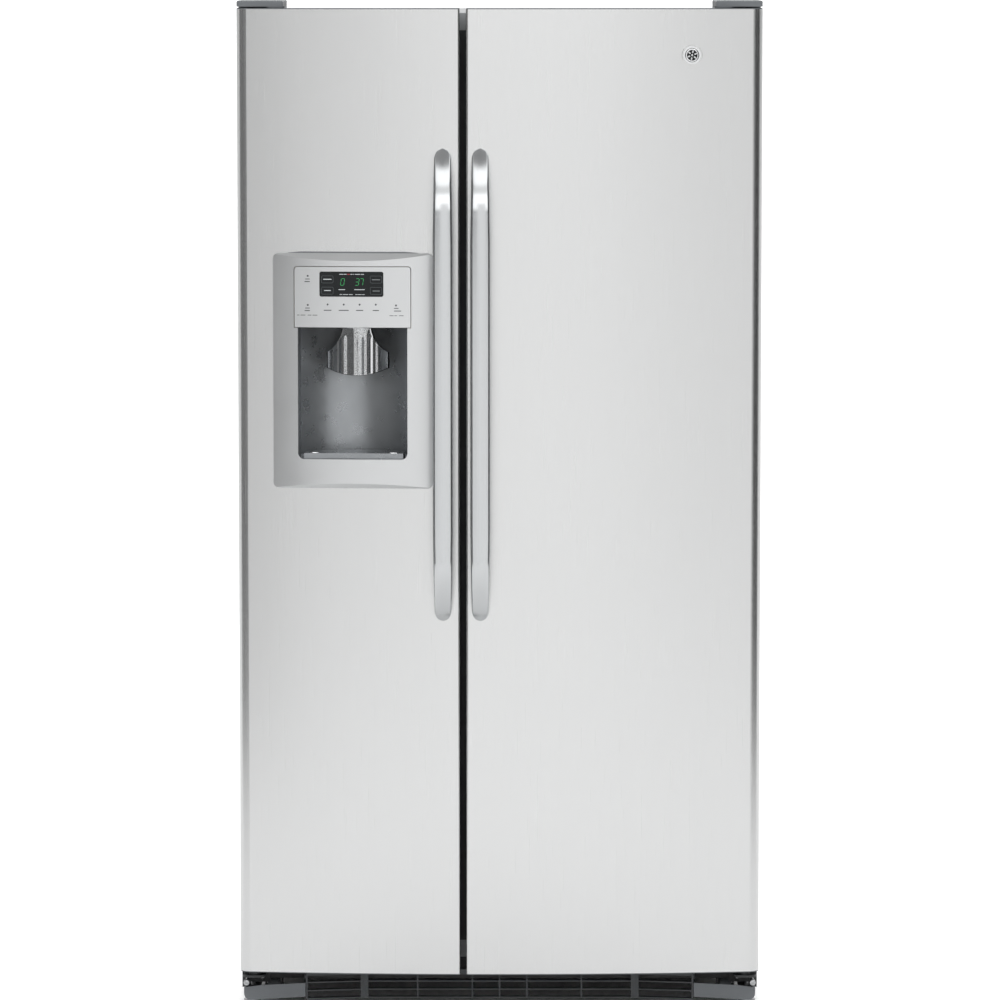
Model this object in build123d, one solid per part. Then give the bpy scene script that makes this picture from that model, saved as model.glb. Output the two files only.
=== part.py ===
"""A free-standing side by side refrigerator: freezer on the left, fresh food on the right.

Units are millimetres.  +Z is up, the doors face -Y, and the origin is on the floor under
the middle of the overall box.  Every function builds one named sub-part, and the list at
the end of the file writes each one to its own STEP file.
"""
from build123d import *
import math
import os

# ---------------------------------------------------------------- driving dimensions
WIDTH = 908.0  # case and doors, the usual 36 inch class
CASE_TOP = 1743.0
DOOR_TOP = 1752.0
DOOR_BOTTOM = 70.5
OVERALL_TOP = 1765.0  # top of the hinge covers
CASE_DEPTH = 730.0
SEAL_GAP = 12.0  # between the case front and the back of a door
DOOR_EDGE = 62.0  # thickness of a door at its outer edge
DOOR_BOW = 28.0  # how far the middle of the door front stands ahead of its edges
HANDLE_REACH = 58.0  # front of a handle ahead of the door front
GAP_LEFT, GAP_RIGHT = -69.0, -57.9  # sides of the slot between the doors

SHEET = 1.0  # steel skins
PLASTIC = 2.0  # vacuum-formed liners
BAR_WALL = 2.5  # bins and drawers

# ---------------------------------------------------------------- places worked out from them
HALF = WIDTH / 2
DEPTH = CASE_DEPTH + SEAL_GAP + DOOR_EDGE + DOOR_BOW + HANDLE_REACH
Y_BACK = DEPTH / 2
Y_CASE = Y_BACK - CASE_DEPTH
Y_DOOR = Y_CASE - SEAL_GAP
Y_EDGE = Y_DOOR - DOOR_EDGE
Y_APEX = Y_EDGE - DOOR_BOW
BOW_RADIUS = (HALF**2 + DOOR_BOW**2) / (2 * DOOR_BOW)
CASE_BOTTOM = 30.0  # underside of the base rails
DECK = 84.0  # underside of the insulated box
INSIDE_FLOOR, INSIDE_TOP = 130.0, 1693.0
INSIDE_BACK = Y_BACK - 50.0
STEP_FRONT, STEP_TOP = 134.0, 306.0  # the raised floor over the machine room
ROOM_FRONT, ROOM_TOP = 178.0, 258.0  # the machine room itself
FREEZER = (-399.0, -93.0)  # inner walls
FRESH = (-33.0, 412.0)
FITTINGS_FRONT = -130.0  # front line of shelves and drawers
FITTINGS_BACK = 325.0
FRONT_SKIN = 1.5  # the steel face that the seals close on

# doors
HINGE_X, HINGE_Y, PIN_R = 430.0, -330.0, 6.0
PIN_CLEARANCE = 0.1
CAP = 16.0  # end cap height
CAP_LIP = 1.5
SEAL_WIDTH = 14.0
BIN_FRONT = -180.0  # how far the door bins reach into the case
DIKE = 24.0  # width of the ridges that carry the bins
DIKE_REACH, PANEL_REACH, SILL_REACH = 68.0, 10.0, 40.0

# dispenser, in its own frame on the freezer door front
DISP_X = -253.3
BEZEL_W, BEZEL_Z0, BEZEL_Z1 = 276.6, 924.0, 1331.5
RIM, BULGE = 4.0, 10.0  # bezel edge and crown ahead of the door front
PANEL_W, PANEL_Z0, PANEL_Z1 = 201.0, 1203.5, 1308.0
CAVITY_W, CAVITY_Z0, CAVITY_Z1 = 190.0, 974.7, 1290.0
CAVITY_SIDE, CAVITY_DEPTH = 45.0, 88.0
WINDOW_X0, WINDOW_X1, WINDOW_Z0, WINDOW_Z1 = -57.0, 54.0, 1256.5, 1300.0
WALL = 2.0
CHUTE_W, CHUTE_Y0, CHUTE_Y1 = 76.0, 28.0, 80.0
CHUTE_MOUTH, CHUTE_TOP = 1316.0, 1396.0
FLAP_Y, FLAP_Z = 34.0, 1309.5
CRADLE_PIVOT_Y, CRADLE_PIVOT_Z = 46.0, 1220.0
CRADLE_X, CRADLE_W, CRADLE_FRONT, CRADLE_SIDE = 4.0, 104.0, 20.0, 50.0

# handles
HANDLE_W, HANDLE_T = 34.0, 14.0
HANDLE_Z0, HANDLE_Z1 = 693.0, 1512.0
HANDLE_BEND, HANDLE_BELLY = 115.0, 6.0  # length of each end bend, and the bow of the bar between them
HANDLE_TIP, STUD_INSET = 14.5, 11.0  # half width at the ends, and the studs' distance from them
FREEZER_HANDLE_X, FRESH_HANDLE_X = -98.0, -33.3  # either side of the slot between the doors

# fittings
FRESH_SHELVES = (338.0, 528.0, 712.0, 960.0, 1210.0, 1450.0)
FREEZER_SHELVES = (640.0, 860.0, 1080.0)
SHELF_H = 14.0
FREEZER_BINS = ((172.0, 115.0), (405.0, 120.0), (645.0, 120.0), (1462.0, 110.0))
FRESH_BINS = ((172.0, 115.0), (430.0, 110.0), (700.0, 110.0), (960.0, 110.0), (1220.0, 110.0))
DAIRY_Z0, DAIRY_Z1, DAIRY_AXIS_Z, FLAP_AXIS = 1520.0, 1640.0, 1634.0, 3.7
BUCKET = (-376.0, -116.0, -120.0, 320.0, 1270.0, 1440.0)
SPOUT_FRONT = -216.0
AUGER_X, AUGER_Z, AUGER_R = -246.0, 1326.0, 44.0
ICEMAKER = (-372.0, -190.0, 40.0, 300.0, 1498.0)
ARM_OUT, ARM_UP = 4.0, 12.0  # the shut-off arm's axis from the mould's edge
FAN_R = 52.0
EVAP_FAN = (-246.0, 352.0, 1010.0)
COND_FAN = (-120.0, 322.0, 145.0)
ROLLER_X, REAR_ROLLER_Y, FRONT_ROLLER_Y, AXLE_Z = 400.0, 400.0, -225.0, 22.0
REAR_ROLLER_R, FRONT_ROLLER_R, ROLLER_W, AXLE_R = 22.0, 20.0, 22.0, 4.0
LEG_X, LEG_Y, LEG_R = 437.0, -268.0, 5.0
GRILLE_X, GRILLE_BEND = 340.0, 238.0
GRILLE_Y, GRILLE_END_Y, GRILLE_DEPTH = -315.0, -330.0, 14.0
SUCTION_RISE = (-97.5, 366.0, 3.5)  # x, y and radius of the lines up to the evaporator
LIQUID_RISE = (-140.0, 376.0, 1.5)
BADGE_X, BADGE_Z, BADGE_R = 331.0, 1671.7, 17.8
INLET_X, INLET_Z, INLET_R = 330.0, 190.0, 3.2
GLAND_X, GLAND_Z, GLAND_R = -330.0, 64.0, 4.0
COVER_Z0, COVER_RISE = 15.0, 6.5  # underside of the corner covers, and its rise towards the grille


# ---------------------------------------------------------------- helpers
def block(x0, x1, y0, y1, z0, z1):
    """A box between two corners."""
    return Pos((x0 + x1) / 2, (y0 + y1) / 2, (z0 + z1) / 2) * Box(x1 - x0, y1 - y0, z1 - z0)


def rod(x, y, z0, z1, r):
    """A vertical cylinder."""
    return Pos(x, y, (z0 + z1) / 2) * Cylinder(r, z1 - z0)


def rod_x(x0, x1, y, z, r):
    return Pos((x0 + x1) / 2, y, z) * Rot(0, 90, 0) * Cylinder(r, x1 - x0)


def rod_y(x, y0, y1, z, r):
    return Pos(x, (y0 + y1) / 2, z) * Rot(90, 0, 0) * Cylinder(r, y1 - y0)


def rounded(x0, x1, y0, y1, z0, z1, r):
    """A box with its four vertical edges rounded."""
    solid = block(x0, x1, y0, y1, z0, z1)
    return fillet(solid.edges().filter_by(Axis.Z), r)


def group(*shapes):
    """Separate solids that share one node."""
    return Compound(children=[s for shape in shapes for s in shape.solids()])


def prism(points, z0, z1):
    """A polygon in plan, raised from z0 to z1."""
    return extrude(Pos(0, 0, z0) * make_face(Polyline(*points, close=True)), z1 - z0)


def mirrored(shape):
    return mirror(shape, Plane.YZ)


def front_y(x, inset=0.0):
    """Y of the bowed front that both doors share, or of a surface that far behind it."""
    return Y_APEX + BOW_RADIUS - math.sqrt((BOW_RADIUS - inset) ** 2 - x**2)


def door_plan(x0, x1, inset, y_back, r0, r1):
    """A door's outline in plan, with its two front corners rounded."""
    a, b = x0 + inset, x1 - inset
    corner_a, corner_b = (a, front_y(a, inset)), (b, front_y(b, inset))
    middle = ((a + b) / 2, front_y((a + b) / 2, inset))
    front = ThreePointArc(corner_a, middle, corner_b)
    rest = Polyline(corner_b, (b, y_back), (a, y_back), corner_a)
    face = make_face(front + rest)
    for corner, radius in ((corner_a, r0), (corner_b, r1)):
        near = face.vertices().sort_by_distance((*corner, 0))[0]
        face = fillet(near, radius - inset)
    return face


def plan_solid(face, z0, z1):
    return extrude(Pos(0, 0, z0) * face, z1 - z0)


DISPENSER = Pos(DISP_X, front_y(DISP_X), 0) * Rot(0, 0, math.degrees(math.asin(DISP_X / BOW_RADIUS)))


# ---------------------------------------------------------------- case
def cabinet_shell():
    """The folded wrapper: two sides, the top, and the front flange that the seals close on."""
    outer = block(-HALF, HALF, Y_CASE, Y_BACK, CASE_BOTTOM, CASE_TOP)
    inner = HALF - SHEET
    shell = outer - block(-inner, inner, Y_CASE - 1, Y_BACK + 1, CASE_BOTTOM - 1, CASE_TOP - SHEET)
    flange = block(-inner, inner, Y_CASE, Y_CASE + FRONT_SKIN, DECK, CASE_TOP - SHEET)
    for x0, x1 in (FREEZER, FRESH):
        flange -= block(x0, x1, Y_CASE - 1, Y_CASE + 5, INSIDE_FLOOR, INSIDE_TOP)
    return shell + flange


def rear_panel():
    panel = block(-HALF + SHEET, HALF - SHEET, Y_BACK - SHEET, Y_BACK, ROOM_TOP, CASE_TOP - SHEET)
    for x in (-260, 0, 260):
        panel -= block(x - 3, x + 3, Y_BACK - 0.4, Y_BACK + 1, ROOM_TOP + 60, CASE_TOP - 60)
    return panel


def insulation():
    """The foam around both compartments, as the slabs that it fills between skins."""
    front, back = Y_CASE + FRONT_SKIN, Y_BACK - SHEET
    side = HALF - SHEET
    left, right = FREEZER[0] - PLASTIC, FRESH[1] + PLASTIC
    floor, top = INSIDE_FLOOR - PLASTIC, INSIDE_TOP + PLASTIC
    rear, step, step_z = INSIDE_BACK + PLASTIC, STEP_FRONT + PLASTIC, STEP_TOP - PLASTIC
    wall = (FREEZER[1] + PLASTIC, FRESH[0] - PLASTIC)
    over_room = block(left, right, ROOM_FRONT, back, ROOM_TOP + 2, step_z)
    for x, y, r in (SUCTION_RISE, LIQUID_RISE):
        over_room -= rod(x, y, ROOM_TOP, STEP_TOP, r)
    return group(
        block(-side, left, front, back, DECK, CASE_TOP - SHEET),
        block(right, side, front, back, DECK, CASE_TOP - SHEET),
        block(left, right, front, back, top, CASE_TOP - SHEET),
        block(left, right, rear, back, step_z, top),
        block(left, right, front, step, DECK, floor),
        block(left, right, step, ROOM_FRONT, DECK, step_z),
        over_room,
        block(*wall, front, rear, step_z, top),
        block(*wall, front, step, floor, step_z),
    )


def liner(x0, x1, ledges, floor_rails):
    """One compartment's inner wall: an open box with a step at its lower back."""
    front = Y_CASE + FRONT_SKIN

    def hollow(grow):
        y = front - (0 if grow else 1)
        tall = block(x0 - grow, x1 + grow, y, INSIDE_BACK + grow, STEP_TOP - grow, INSIDE_TOP + grow)
        low = block(x0 - grow, x1 + grow, y, STEP_FRONT + grow, INSIDE_FLOOR - grow, STEP_TOP)
        return tall + low

    shape = hollow(PLASTIC) - hollow(0)
    for z, reach, y1 in ledges:
        for a, b in ((x0, x0 + reach), (x1 - reach, x1)):
            shape += block(a, b, FITTINGS_FRONT + 8, y1, z - 8, z)
    for a, b in ((x0, x0 + 14), (x1 - 14, x1)):
        shape += block(a, b, FITTINGS_FRONT + 8, STEP_FRONT, INSIDE_FLOOR, floor_rails)
    return shape


def freezer_liner():
    ledges = [(z, 6, FITTINGS_BACK) for z in FREEZER_SHELVES]
    ledges += [(379.7, 12, FITTINGS_BACK), (BUCKET[4] - 0.3, 32, FITTINGS_BACK)]
    shape = liner(*FREEZER, ledges, 133.7)
    for x, y, r in (SUCTION_RISE, LIQUID_RISE):
        shape -= rod(x, y, STEP_TOP - 4, STEP_TOP + 1, r)
    return shape


def fresh_food_liner():
    return liner(*FRESH, [(z, 6, FITTINGS_BACK) for z in FRESH_SHELVES], 133.7)


def roller_bracket(y):
    """An inverted channel that hangs one roller from the side rail, and its axle."""
    inner, outer = ROLLER_X - ROLLER_W / 2 - 4.5, ROLLER_X + ROLLER_W / 2 + 4.5
    cheeks = block(inner, inner + 2, y - 16, y + 16, 12, 50) + block(outer - 2, outer, y - 16, y + 16, 12, 50)
    roof = block(inner, HALF - SHEET - 2, y - 16, y + 16, 48, 50)
    axle = rod_x(inner - 1, outer + 1, y, AXLE_Z, AXLE_R)
    return cheeks + roof - axle, axle


def roller_brackets():
    pieces = [piece for y in (FRONT_ROLLER_Y, REAR_ROLLER_Y) for piece in roller_bracket(y)]
    return pieces + [mirrored(piece) for piece in pieces]


def base_frame():
    """Side rails, front cross member, machine room walls and the pan under the compressor."""
    inner = HALF - SHEET
    rail = block(inner - 32, inner, Y_CASE + FRONT_SKIN, Y_BACK - 2, CASE_BOTTOM, DECK)
    rail -= block(inner - 33, inner - 2, Y_CASE - 1, Y_BACK, CASE_BOTTOM + 2, DECK - 2)
    rail -= rod(LEG_X, LEG_Y, CASE_BOTTOM - 1, CASE_BOTTOM + 3, LEG_R + 0.08)
    between = inner - 32
    cross = block(-between, between, Y_CASE + FRONT_SKIN, Y_CASE + 20, 46, DECK - 2)
    cross -= block(-between - 1, between + 1, Y_CASE + 3.5, Y_CASE + 21, 48, DECK - 4)
    floor = block(-between, between, Y_CASE + FRONT_SKIN, ROOM_FRONT, DECK - 2, DECK)
    riser = block(-between + 20, between - 7, ROOM_FRONT, ROOM_FRONT + 2, DECK - 2, ROOM_TOP)
    ceiling = block(-between + 20, between - 7, ROOM_FRONT, Y_BACK - SHEET, ROOM_TOP, ROOM_TOP + 2)
    for x, y, r in (SUCTION_RISE, LIQUID_RISE):
        ceiling -= rod(x, y, ROOM_TOP - 1, ROOM_TOP + 3, r)
    pan = block(-378, 378, 150, Y_BACK - 3, CASE_BOTTOM, CASE_BOTTOM + 2)
    pan += block(-between, between, 200, 360, CASE_BOTTOM, CASE_BOTTOM + 2)
    return group(rail, mirrored(rail), cross, floor, riser, ceiling, pan, *roller_brackets())


def grille_strip(y_shift, depth, z0, z1):
    """A strip that follows the grille's bent plan, flat in the middle and forward at its ends."""
    xs = (-GRILLE_X, -GRILLE_BEND, GRILLE_BEND, GRILLE_X)
    ys = (GRILLE_END_Y, GRILLE_Y, GRILLE_Y, GRILLE_END_Y)
    front = [(x, y + y_shift) for x, y in zip(xs, ys)]
    back = [(x, y + y_shift + depth) for x, y in zip(reversed(xs), reversed(ys))]
    return prism(front + back, z0, z1)


def base_grille():
    z0, z1 = COVER_Z0 + 1, 67
    shape = grille_strip(0, GRILLE_DEPTH, z1 - 9, z1)
    for z in (46.0, 31.5, z0 + 1):
        shape += grille_strip(0, GRILLE_DEPTH, z - 1, z + 1)
    for x, half in ((0, 1.25), (48, 1.25), (144, 1.25)):
        for side in (-1, 1):
            x_mid = side * x
            shape += block(x_mid - half, x_mid + half, GRILLE_Y, GRILLE_Y + GRILLE_DEPTH, z0, z1)
    post = prism([(231, GRILLE_Y), (GRILLE_BEND, GRILLE_Y), (244.6, GRILLE_Y - 1),
                  (244.6, GRILLE_Y + 13), (231, GRILLE_Y + GRILLE_DEPTH)], z0, z1)
    end = block(GRILLE_X - 2.5, GRILLE_X, GRILLE_END_Y + 0.4, GRILLE_END_Y + GRILLE_DEPTH, z0, z1)
    clip = block(196, 212, GRILLE_Y + GRILLE_DEPTH - 1, Y_CASE + FRONT_SKIN, 58, 66)
    for piece in (post, end, clip):
        shape += piece + mirrored(piece)
    return shape


def leg_covers():
    """The two corner pieces beside the grille, open at the top and back, each with a clip.

    The bottom rises by COVER_RISE towards the grille.
    """
    x0, x1, y0, y1, z0 = GRILLE_X + 1, 449.0, GRILLE_END_Y - 2, -294.0, COVER_Z0
    z_in = z0 + COVER_RISE
    outline = Polyline((x0, z_in), (x1, z0), (x1, z0 + 23), (x1 - 30, z0 + 27), (x0, z0 + 31), close=True)
    face = make_face(outline)
    corner = face.vertices().sort_by_distance((x1, z0, 0))[0]
    face = fillet(corner, 12)
    body = Pos(0, y1, 0) * Rot(90, 0, 0) * extrude(face, y1 - y0)
    inside = Polyline((x0 + 3, z_in + 3), (x1 - 3, z0 + 3.3), (x1 - 3, 60), (x0 + 3, 60), close=True)
    cover = body - Pos(0, y1 + 1, 0) * Rot(90, 0, 0) * extrude(make_face(inside), y1 + 1 - y0 - 3)
    cover += block(x0, x0 + 3, y1 - 1, Y_CASE + FRONT_SKIN, z0 + 10, 54)
    return group(cover, mirrored(cover))


def upper_hinge():
    plate = block(395, 445, -270, -190, CASE_TOP, CASE_TOP + 3)
    riser = block(412, 445, -273, -268, CASE_TOP, DOOR_TOP + 5)
    arm = block(412, 448, -348, -270, DOOR_TOP + 2, DOOR_TOP + 5)
    arm = fillet(arm.edges().filter_by(Axis.Z), 8)
    pin = rod(HINGE_X, HINGE_Y, DOOR_TOP - 15, DOOR_TOP + 3, PIN_R)
    holes = [rod(x, y, CASE_TOP - 1, CASE_TOP + 4, 3.5) for x, y in ((408, -205), (432, -205), (408, -250))]
    shape = plate + riser + arm + pin
    for hole in holes:
        shape -= hole
    return shape


def lower_hinge():
    flange = block(405, 452, Y_CASE - 3, Y_CASE + FRONT_SKIN, 40, 80)
    arm = block(410, 450, -346, Y_CASE - 1, 58, 62)
    arm = fillet(arm.edges().filter_by(Axis.Z).sort_by(Axis.Y)[:2], 12)
    collar = rod(HINGE_X, HINGE_Y, 60, DOOR_BOTTOM - 0.3, 10)
    pin = rod(HINGE_X, HINGE_Y, 60, DOOR_BOTTOM + 14, PIN_R)
    return flange + arm + collar + pin


def door_hinges():
    upper, lower = upper_hinge(), lower_hinge()
    return group(upper, mirrored(upper), lower, mirrored(lower))


def hinge_covers():
    """Caps over the upper hinges, with a step down beside the hinge arm."""
    def form(grow):
        x0, x1 = 373 + grow, HALF - 1 - grow
        back = block(x0, x1, -286 + grow, -180 - grow, CASE_TOP + 0.3 - (grow > 0), OVERALL_TOP - grow)
        front = block(x0, x1, -358 + grow, -284, DOOR_TOP + 2.6 - (grow > 0), OVERALL_TOP - grow)
        return back + front

    skirt = block(373, 400, -358, -356, DOOR_TOP + 0.9, DOOR_TOP + 5)
    outer = form(0)
    top = outer.edges().group_by(Axis.Z)[-1]
    cover = fillet(top, 3) - form(2) + skirt
    return group(cover, mirrored(cover))


def roller_pair(y, r):
    wheel = rod_x(ROLLER_X - ROLLER_W / 2, ROLLER_X + ROLLER_W / 2, y, AXLE_Z, r)
    wheel = fillet(wheel.edges(), 2)
    wheel -= rod_x(ROLLER_X - ROLLER_W, ROLLER_X + ROLLER_W, y, AXLE_Z, AXLE_R + 0.1)
    return group(wheel, mirrored(wheel))


def leveling_leg(side):
    foot = fillet(rod(LEG_X, LEG_Y, 0, 8, 15).edges().group_by(Axis.Z)[-1], 2)
    nut = extrude(Pos(LEG_X, LEG_Y, 8) * RegularPolygon(9, 6), 6)
    leg = foot + nut + rod(LEG_X, LEG_Y, 8, 72, LEG_R)
    return leg if side > 0 else mirrored(leg)


# ---------------------------------------------------------------- machine room
def machine_cover():
    y0, y1, z0, z1 = Y_BACK - 2, Y_BACK, CASE_BOTTOM + 3, ROOM_TOP
    split = INLET_X - 40
    cover = block(FREEZER[0] - PLASTIC, split - 0.5, y0, y1, z0, z1)
    for row in range(6):
        for x in (-300, -190, -80, 80, 190):
            z = 96 + 24 * row
            cover -= block(x - 45, x + 45, y0 - 1, y1 + 1, z, z + 7)
    cover += rod_y(GLAND_X, y0 - 6, y1, GLAND_Z, 11)
    cover -= rod_y(GLAND_X, y0 - 8, y1 + 1, GLAND_Z, GLAND_R)
    service = block(split, FRESH[1] + PLASTIC, y0, y1, z0, z1)
    service -= block(INLET_X - 20, INLET_X + 20, y0 - 1, y1 + 1, INLET_Z - 20, z1 + 1)
    return group(cover, service)


def pipe(points, bend, r):
    """A round tube along straight runs with bends of one radius."""
    path = FilletPolyline(*points, radius=bend)
    start = path.edges()[0]
    return sweep(Plane(start @ 0, z_dir=start % 0) * Circle(r), path)


def compressor():
    """The compressor on its plate, with the lines brazed to it."""
    x, y = 215.0, 310.0
    can = fillet(rod(x, y, 48, 200, 78).edges().group_by(Axis.Z)[-1], 45)
    seam = rod(x, y, 118, 124, 81)
    plate = rounded(x - 95, x + 95, y - 70, y + 70, 42, 48, 12)
    for dx, dy in ((-80, -55), (80, -55), (-80, 55), (80, 55)):
        plate += rod(x + dx, y + dy, 32, 42, 12)
    terminals = block(x + 70, x + 100, y - 30, y + 30, 80, 130)
    stubs = rod_x(x - 100, x - 60, y, 100, 4) + rod_x(x - 100, x - 60, y + 24, 140, 4)
    sx, sy, sr = SUCTION_RISE
    lx, ly, lr = LIQUID_RISE
    lines = [
        pipe([(115, 334, 140), (80, 334, 140), (80, 424, 140), (sx, 424, 140), (sx, sy + sr, 140)], 14, sr),
        rod(sx, sy, 136.5, 456, sr),
        pipe([(115, 310, 100), (90, 310, 100), (90, 232, 100), (-146, 232, 100), (-146, 320, 100),
              (-146, 320, 78.4), (-172, 320, 78.4)], 9, 3.0),
        pipe([(-172, 320, 209.6), (lx, 320, 209.6), (lx, ly - lr, 209.6)], 9, lr),
        rod(lx, ly, 208, 420, lr),
    ]
    return group(can + seam + plate + terminals + stubs, *lines)


def finned_coil(x0, x1, y0, y1, z0, z1, fins, rows, tube_r):
    """Straight tubes along X through upright fins, with return bends as short uprights."""
    z_step = (z1 - z0) / rows
    tubes = None
    y = (y0 + y1) / 2
    for row in range(rows):
        z = z0 + z_step * (row + 0.5)
        tube = rod_x(x0, x1, y, z, tube_r)
        tubes = tube if tubes is None else tubes + tube
        if row:
            x = x1 - tube_r if row % 2 else x0 + tube_r
            tubes += rod(x, y, z - z_step, z, tube_r * 0.98)
    pitch = (x1 - x0 - 40) / (fins - 1)
    for i in range(fins):
        x = x0 + 20 + pitch * i
        tubes += block(x - 0.6, x + 0.6, y0, y1, z0, z1)
    return tubes


def condenser_coil():
    coil = finned_coil(-372, -172, 240, 400, 62, 226, 15, 5, 4.5)
    for x in (-368, -178):
        coil += block(x - 1, x + 1, 250, 390, CASE_BOTTOM + 2, 228)
    return coil


def evaporator():
    return finned_coil(-388, -104, 343, 389, 420, 820, 15, 6, 4.5)


def fan(hub_r, blade_r, depth, blades):
    """A fan turning about Z at the origin."""
    hub = fillet(Cylinder(hub_r, depth).edges().group_by(Axis.Z)[-1], 3)
    shape = hub
    for i in range(blades):
        length = blade_r - hub_r * 0.6
        blade = Pos((blade_r + hub_r * 0.6) / 2, 0, 0) * Rot(28, 0, 0) * Box(length, blade_r * 0.55, 1.6)
        shape += Rot(0, 0, 360 / blades * i) * blade
    return shape - Cylinder(2.1, depth * 3)


def evaporator_fan():
    return Pos(*EVAP_FAN) * Rot(90, 0, 0) * fan(15, FAN_R, 14, 5)


def condenser_fan():
    return Pos(*COND_FAN) * Rot(0, 90, 0) * fan(18, 64, 18, 5)


def motors():
    """Evaporator fan motor, condenser fan motor on its bracket, and the auger motor."""
    x, y, z = EVAP_FAN
    evap = rod_y(x, y + 9, INSIDE_BACK, z, 20) + rod_y(x, y - 7, y + 12, z, 2)
    evap += block(x - 60, x + 60, INSIDE_BACK - 4, INSIDE_BACK, z - 8, z + 8)
    x, y, z = COND_FAN
    cond = rod_x(x + 12, x + 52, y, z, 24) + rod_x(x - 9, x + 14, y, z, 2)
    cond += block(x + 26, x + 38, y - 12, y + 12, CASE_BOTTOM + 2, z)
    cond += block(x + 10, x + 54, y - 30, y + 30, CASE_BOTTOM + 2, CASE_BOTTOM + 5)
    auger = rounded(AUGER_X - 50, AUGER_X + 50, 332, INSIDE_BACK, AUGER_Z - 50, AUGER_Z + 50, 8)
    auger += rod_y(AUGER_X, 329, 333, AUGER_Z, 12)
    return group(evap, cond, auger)


def water_parts():
    """The inlet valve, the defrost water tray beside the coil, and the water filter."""
    body = rounded(INLET_X - 24, INLET_X + 24, 396, 424, INLET_Z - 22, INLET_Z + 22, 4)
    body += rod_y(INLET_X, 420, Y_BACK - 4, INLET_Z, 8)
    body += block(INLET_X - 18, INLET_X + 18, 372, 398, INLET_Z - 40, INLET_Z + 10)
    body += block(INLET_X - 30, INLET_X + 30, 392, 396, INLET_Z + 10, ROOM_TOP)
    body -= rod_y(INLET_X, 426, Y_BACK, INLET_Z, INLET_R)
    pan = tray(-366, -180, 236, 404, CASE_BOTTOM + 2, 58, 2, 2, 8)
    for x in (-368, -178):
        pan -= block(x - 1.2, x + 1.2, 200, 430, CASE_BOTTOM, 70)
    head = block(330, FRESH[1], 60, 240, INSIDE_TOP - 66, INSIDE_TOP)
    head = fillet(head.edges().filter_by(Axis.Y).group_by(Axis.Z)[0][:1], 24)
    cartridge = rod_y(372, 20, 60, INSIDE_TOP - 34, 26)
    cartridge += block(368, 376, 14, 22, INSIDE_TOP - 56, INSIDE_TOP - 12)
    return group(body, pan, head + cartridge)


# ---------------------------------------------------------------- inside the compartments
def tray(x0, x1, y0, y1, z0, z1, wall, front_wall, r):
    """An open-topped box with rounded corners."""
    outer = rounded(x0, x1, y0, y1, z0, z1, r)
    inner = rounded(x0 + wall, x1 - wall, y0 + front_wall, y1 - wall, z0 + wall, z1 + 1, max(r - wall, 1))
    return outer - inner


def drawer(x0, x1, y1, z0, z1):
    """A clear bin with a thick front and a finger lip along its top."""
    y0 = FITTINGS_FRONT
    shape = tray(x0, x1, y0, y1, z0, z1, BAR_WALL, 6, 8)
    scoop = Pos((x0 + x1) / 2, y0 - 14, z1 - 22) * Rot(0, 90, 0) * Cylinder(18, (x1 - x0) * 0.5)
    return shape - scoop


def crisper_lower():
    return drawer(FRESH[0] + 4, FRESH[1] - 4, 125, 134, 322)


def crisper_upper():
    return drawer(FRESH[0] + 8, FRESH[1] - 8, FITTINGS_BACK - 5, FRESH_SHELVES[0] + SHELF_H + 0.4, 516)


def meat_drawer():
    return drawer(FRESH[0] + 8, FRESH[1] - 8, FITTINGS_BACK - 25, FRESH_SHELVES[1] + SHELF_H + 0.4, 700)


def wire_basket(y1, z0, z1):
    """A basket of slatted walls around a solid rim and floor rim."""
    x0, x1, y0 = FREEZER[0] + 8, FREEZER[1] - 8, FITTINGS_FRONT
    shape = tray(x0, x1, y0, y1, z0, z1, 3, 4, 8)
    pitch, slot = 24.0, 17.0
    low, high = z0 + 14, z1 - 16
    count = int((x1 - x0 - 40) / pitch)
    for i in range(count):
        x = (x0 + x1) / 2 + (i - (count - 1) / 2) * pitch
        shape -= block(x - slot / 2, x + slot / 2, y0 - 1, y0 + 8, low, high)
        shape -= block(x - slot / 2, x + slot / 2, y1 - 8, y1 + 1, low, high)
    count = int((y1 - y0 - 50) / pitch)
    for i in range(count):
        y = (y0 + y1) / 2 + (i - (count - 1) / 2) * pitch
        for a, b in ((x0 - 1, x0 + 6), (x1 - 6, x1 + 1)):
            shape -= block(a, b, y - slot / 2, y + slot / 2, low, high)
    return shape


def freezer_basket_lower():
    return wire_basket(125, 134, 300)


def freezer_basket_upper():
    return wire_basket(FITTINGS_BACK - 5, 380, 580)


def freezer_shelves():
    """Wire shelves: a rim with slats from front to back."""
    x0, x1 = FREEZER[0] + 1, FREEZER[1] - 1
    racks = []
    for z in FREEZER_SHELVES:
        rack = block(x0, x1, FITTINGS_FRONT, FITTINGS_BACK, z, z + 8)
        count, slot = 15, 14.0
        pitch = (x1 - x0 - 16) / count
        for i in range(count):
            x = x0 + 8 + pitch * (i + 0.5)
            for y0, y1 in ((FITTINGS_FRONT + 8, 92), (100, FITTINGS_BACK - 8)):
                rack -= block(x - slot / 2, x + slot / 2, y0, y1, z - 1, z + 9)
        racks.append(rack)
    return group(*racks)


def shelf_rim(z):
    x0, x1 = FRESH[0] + 1, FRESH[1] - 1
    rim = block(x0, x1, FITTINGS_FRONT, FITTINGS_BACK, z, z + SHELF_H)
    rim -= block(x0 + 16, x1 - 16, FITTINGS_FRONT + 22, FITTINGS_BACK - 16, z - 1, z + SHELF_H + 1)
    rim -= block(x0 + 8, x1 - 8, FITTINGS_FRONT + 14, FITTINGS_BACK - 8, z + 6, z + 10)
    front_top = rim.edges().filter_by(Axis.X).sort_by(Axis.Y)[:4].sort_by(Axis.Z)[-1]
    return fillet(front_top, 4)


def fresh_shelf_frames():
    return group(*[shelf_rim(z) for z in FRESH_SHELVES])


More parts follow.
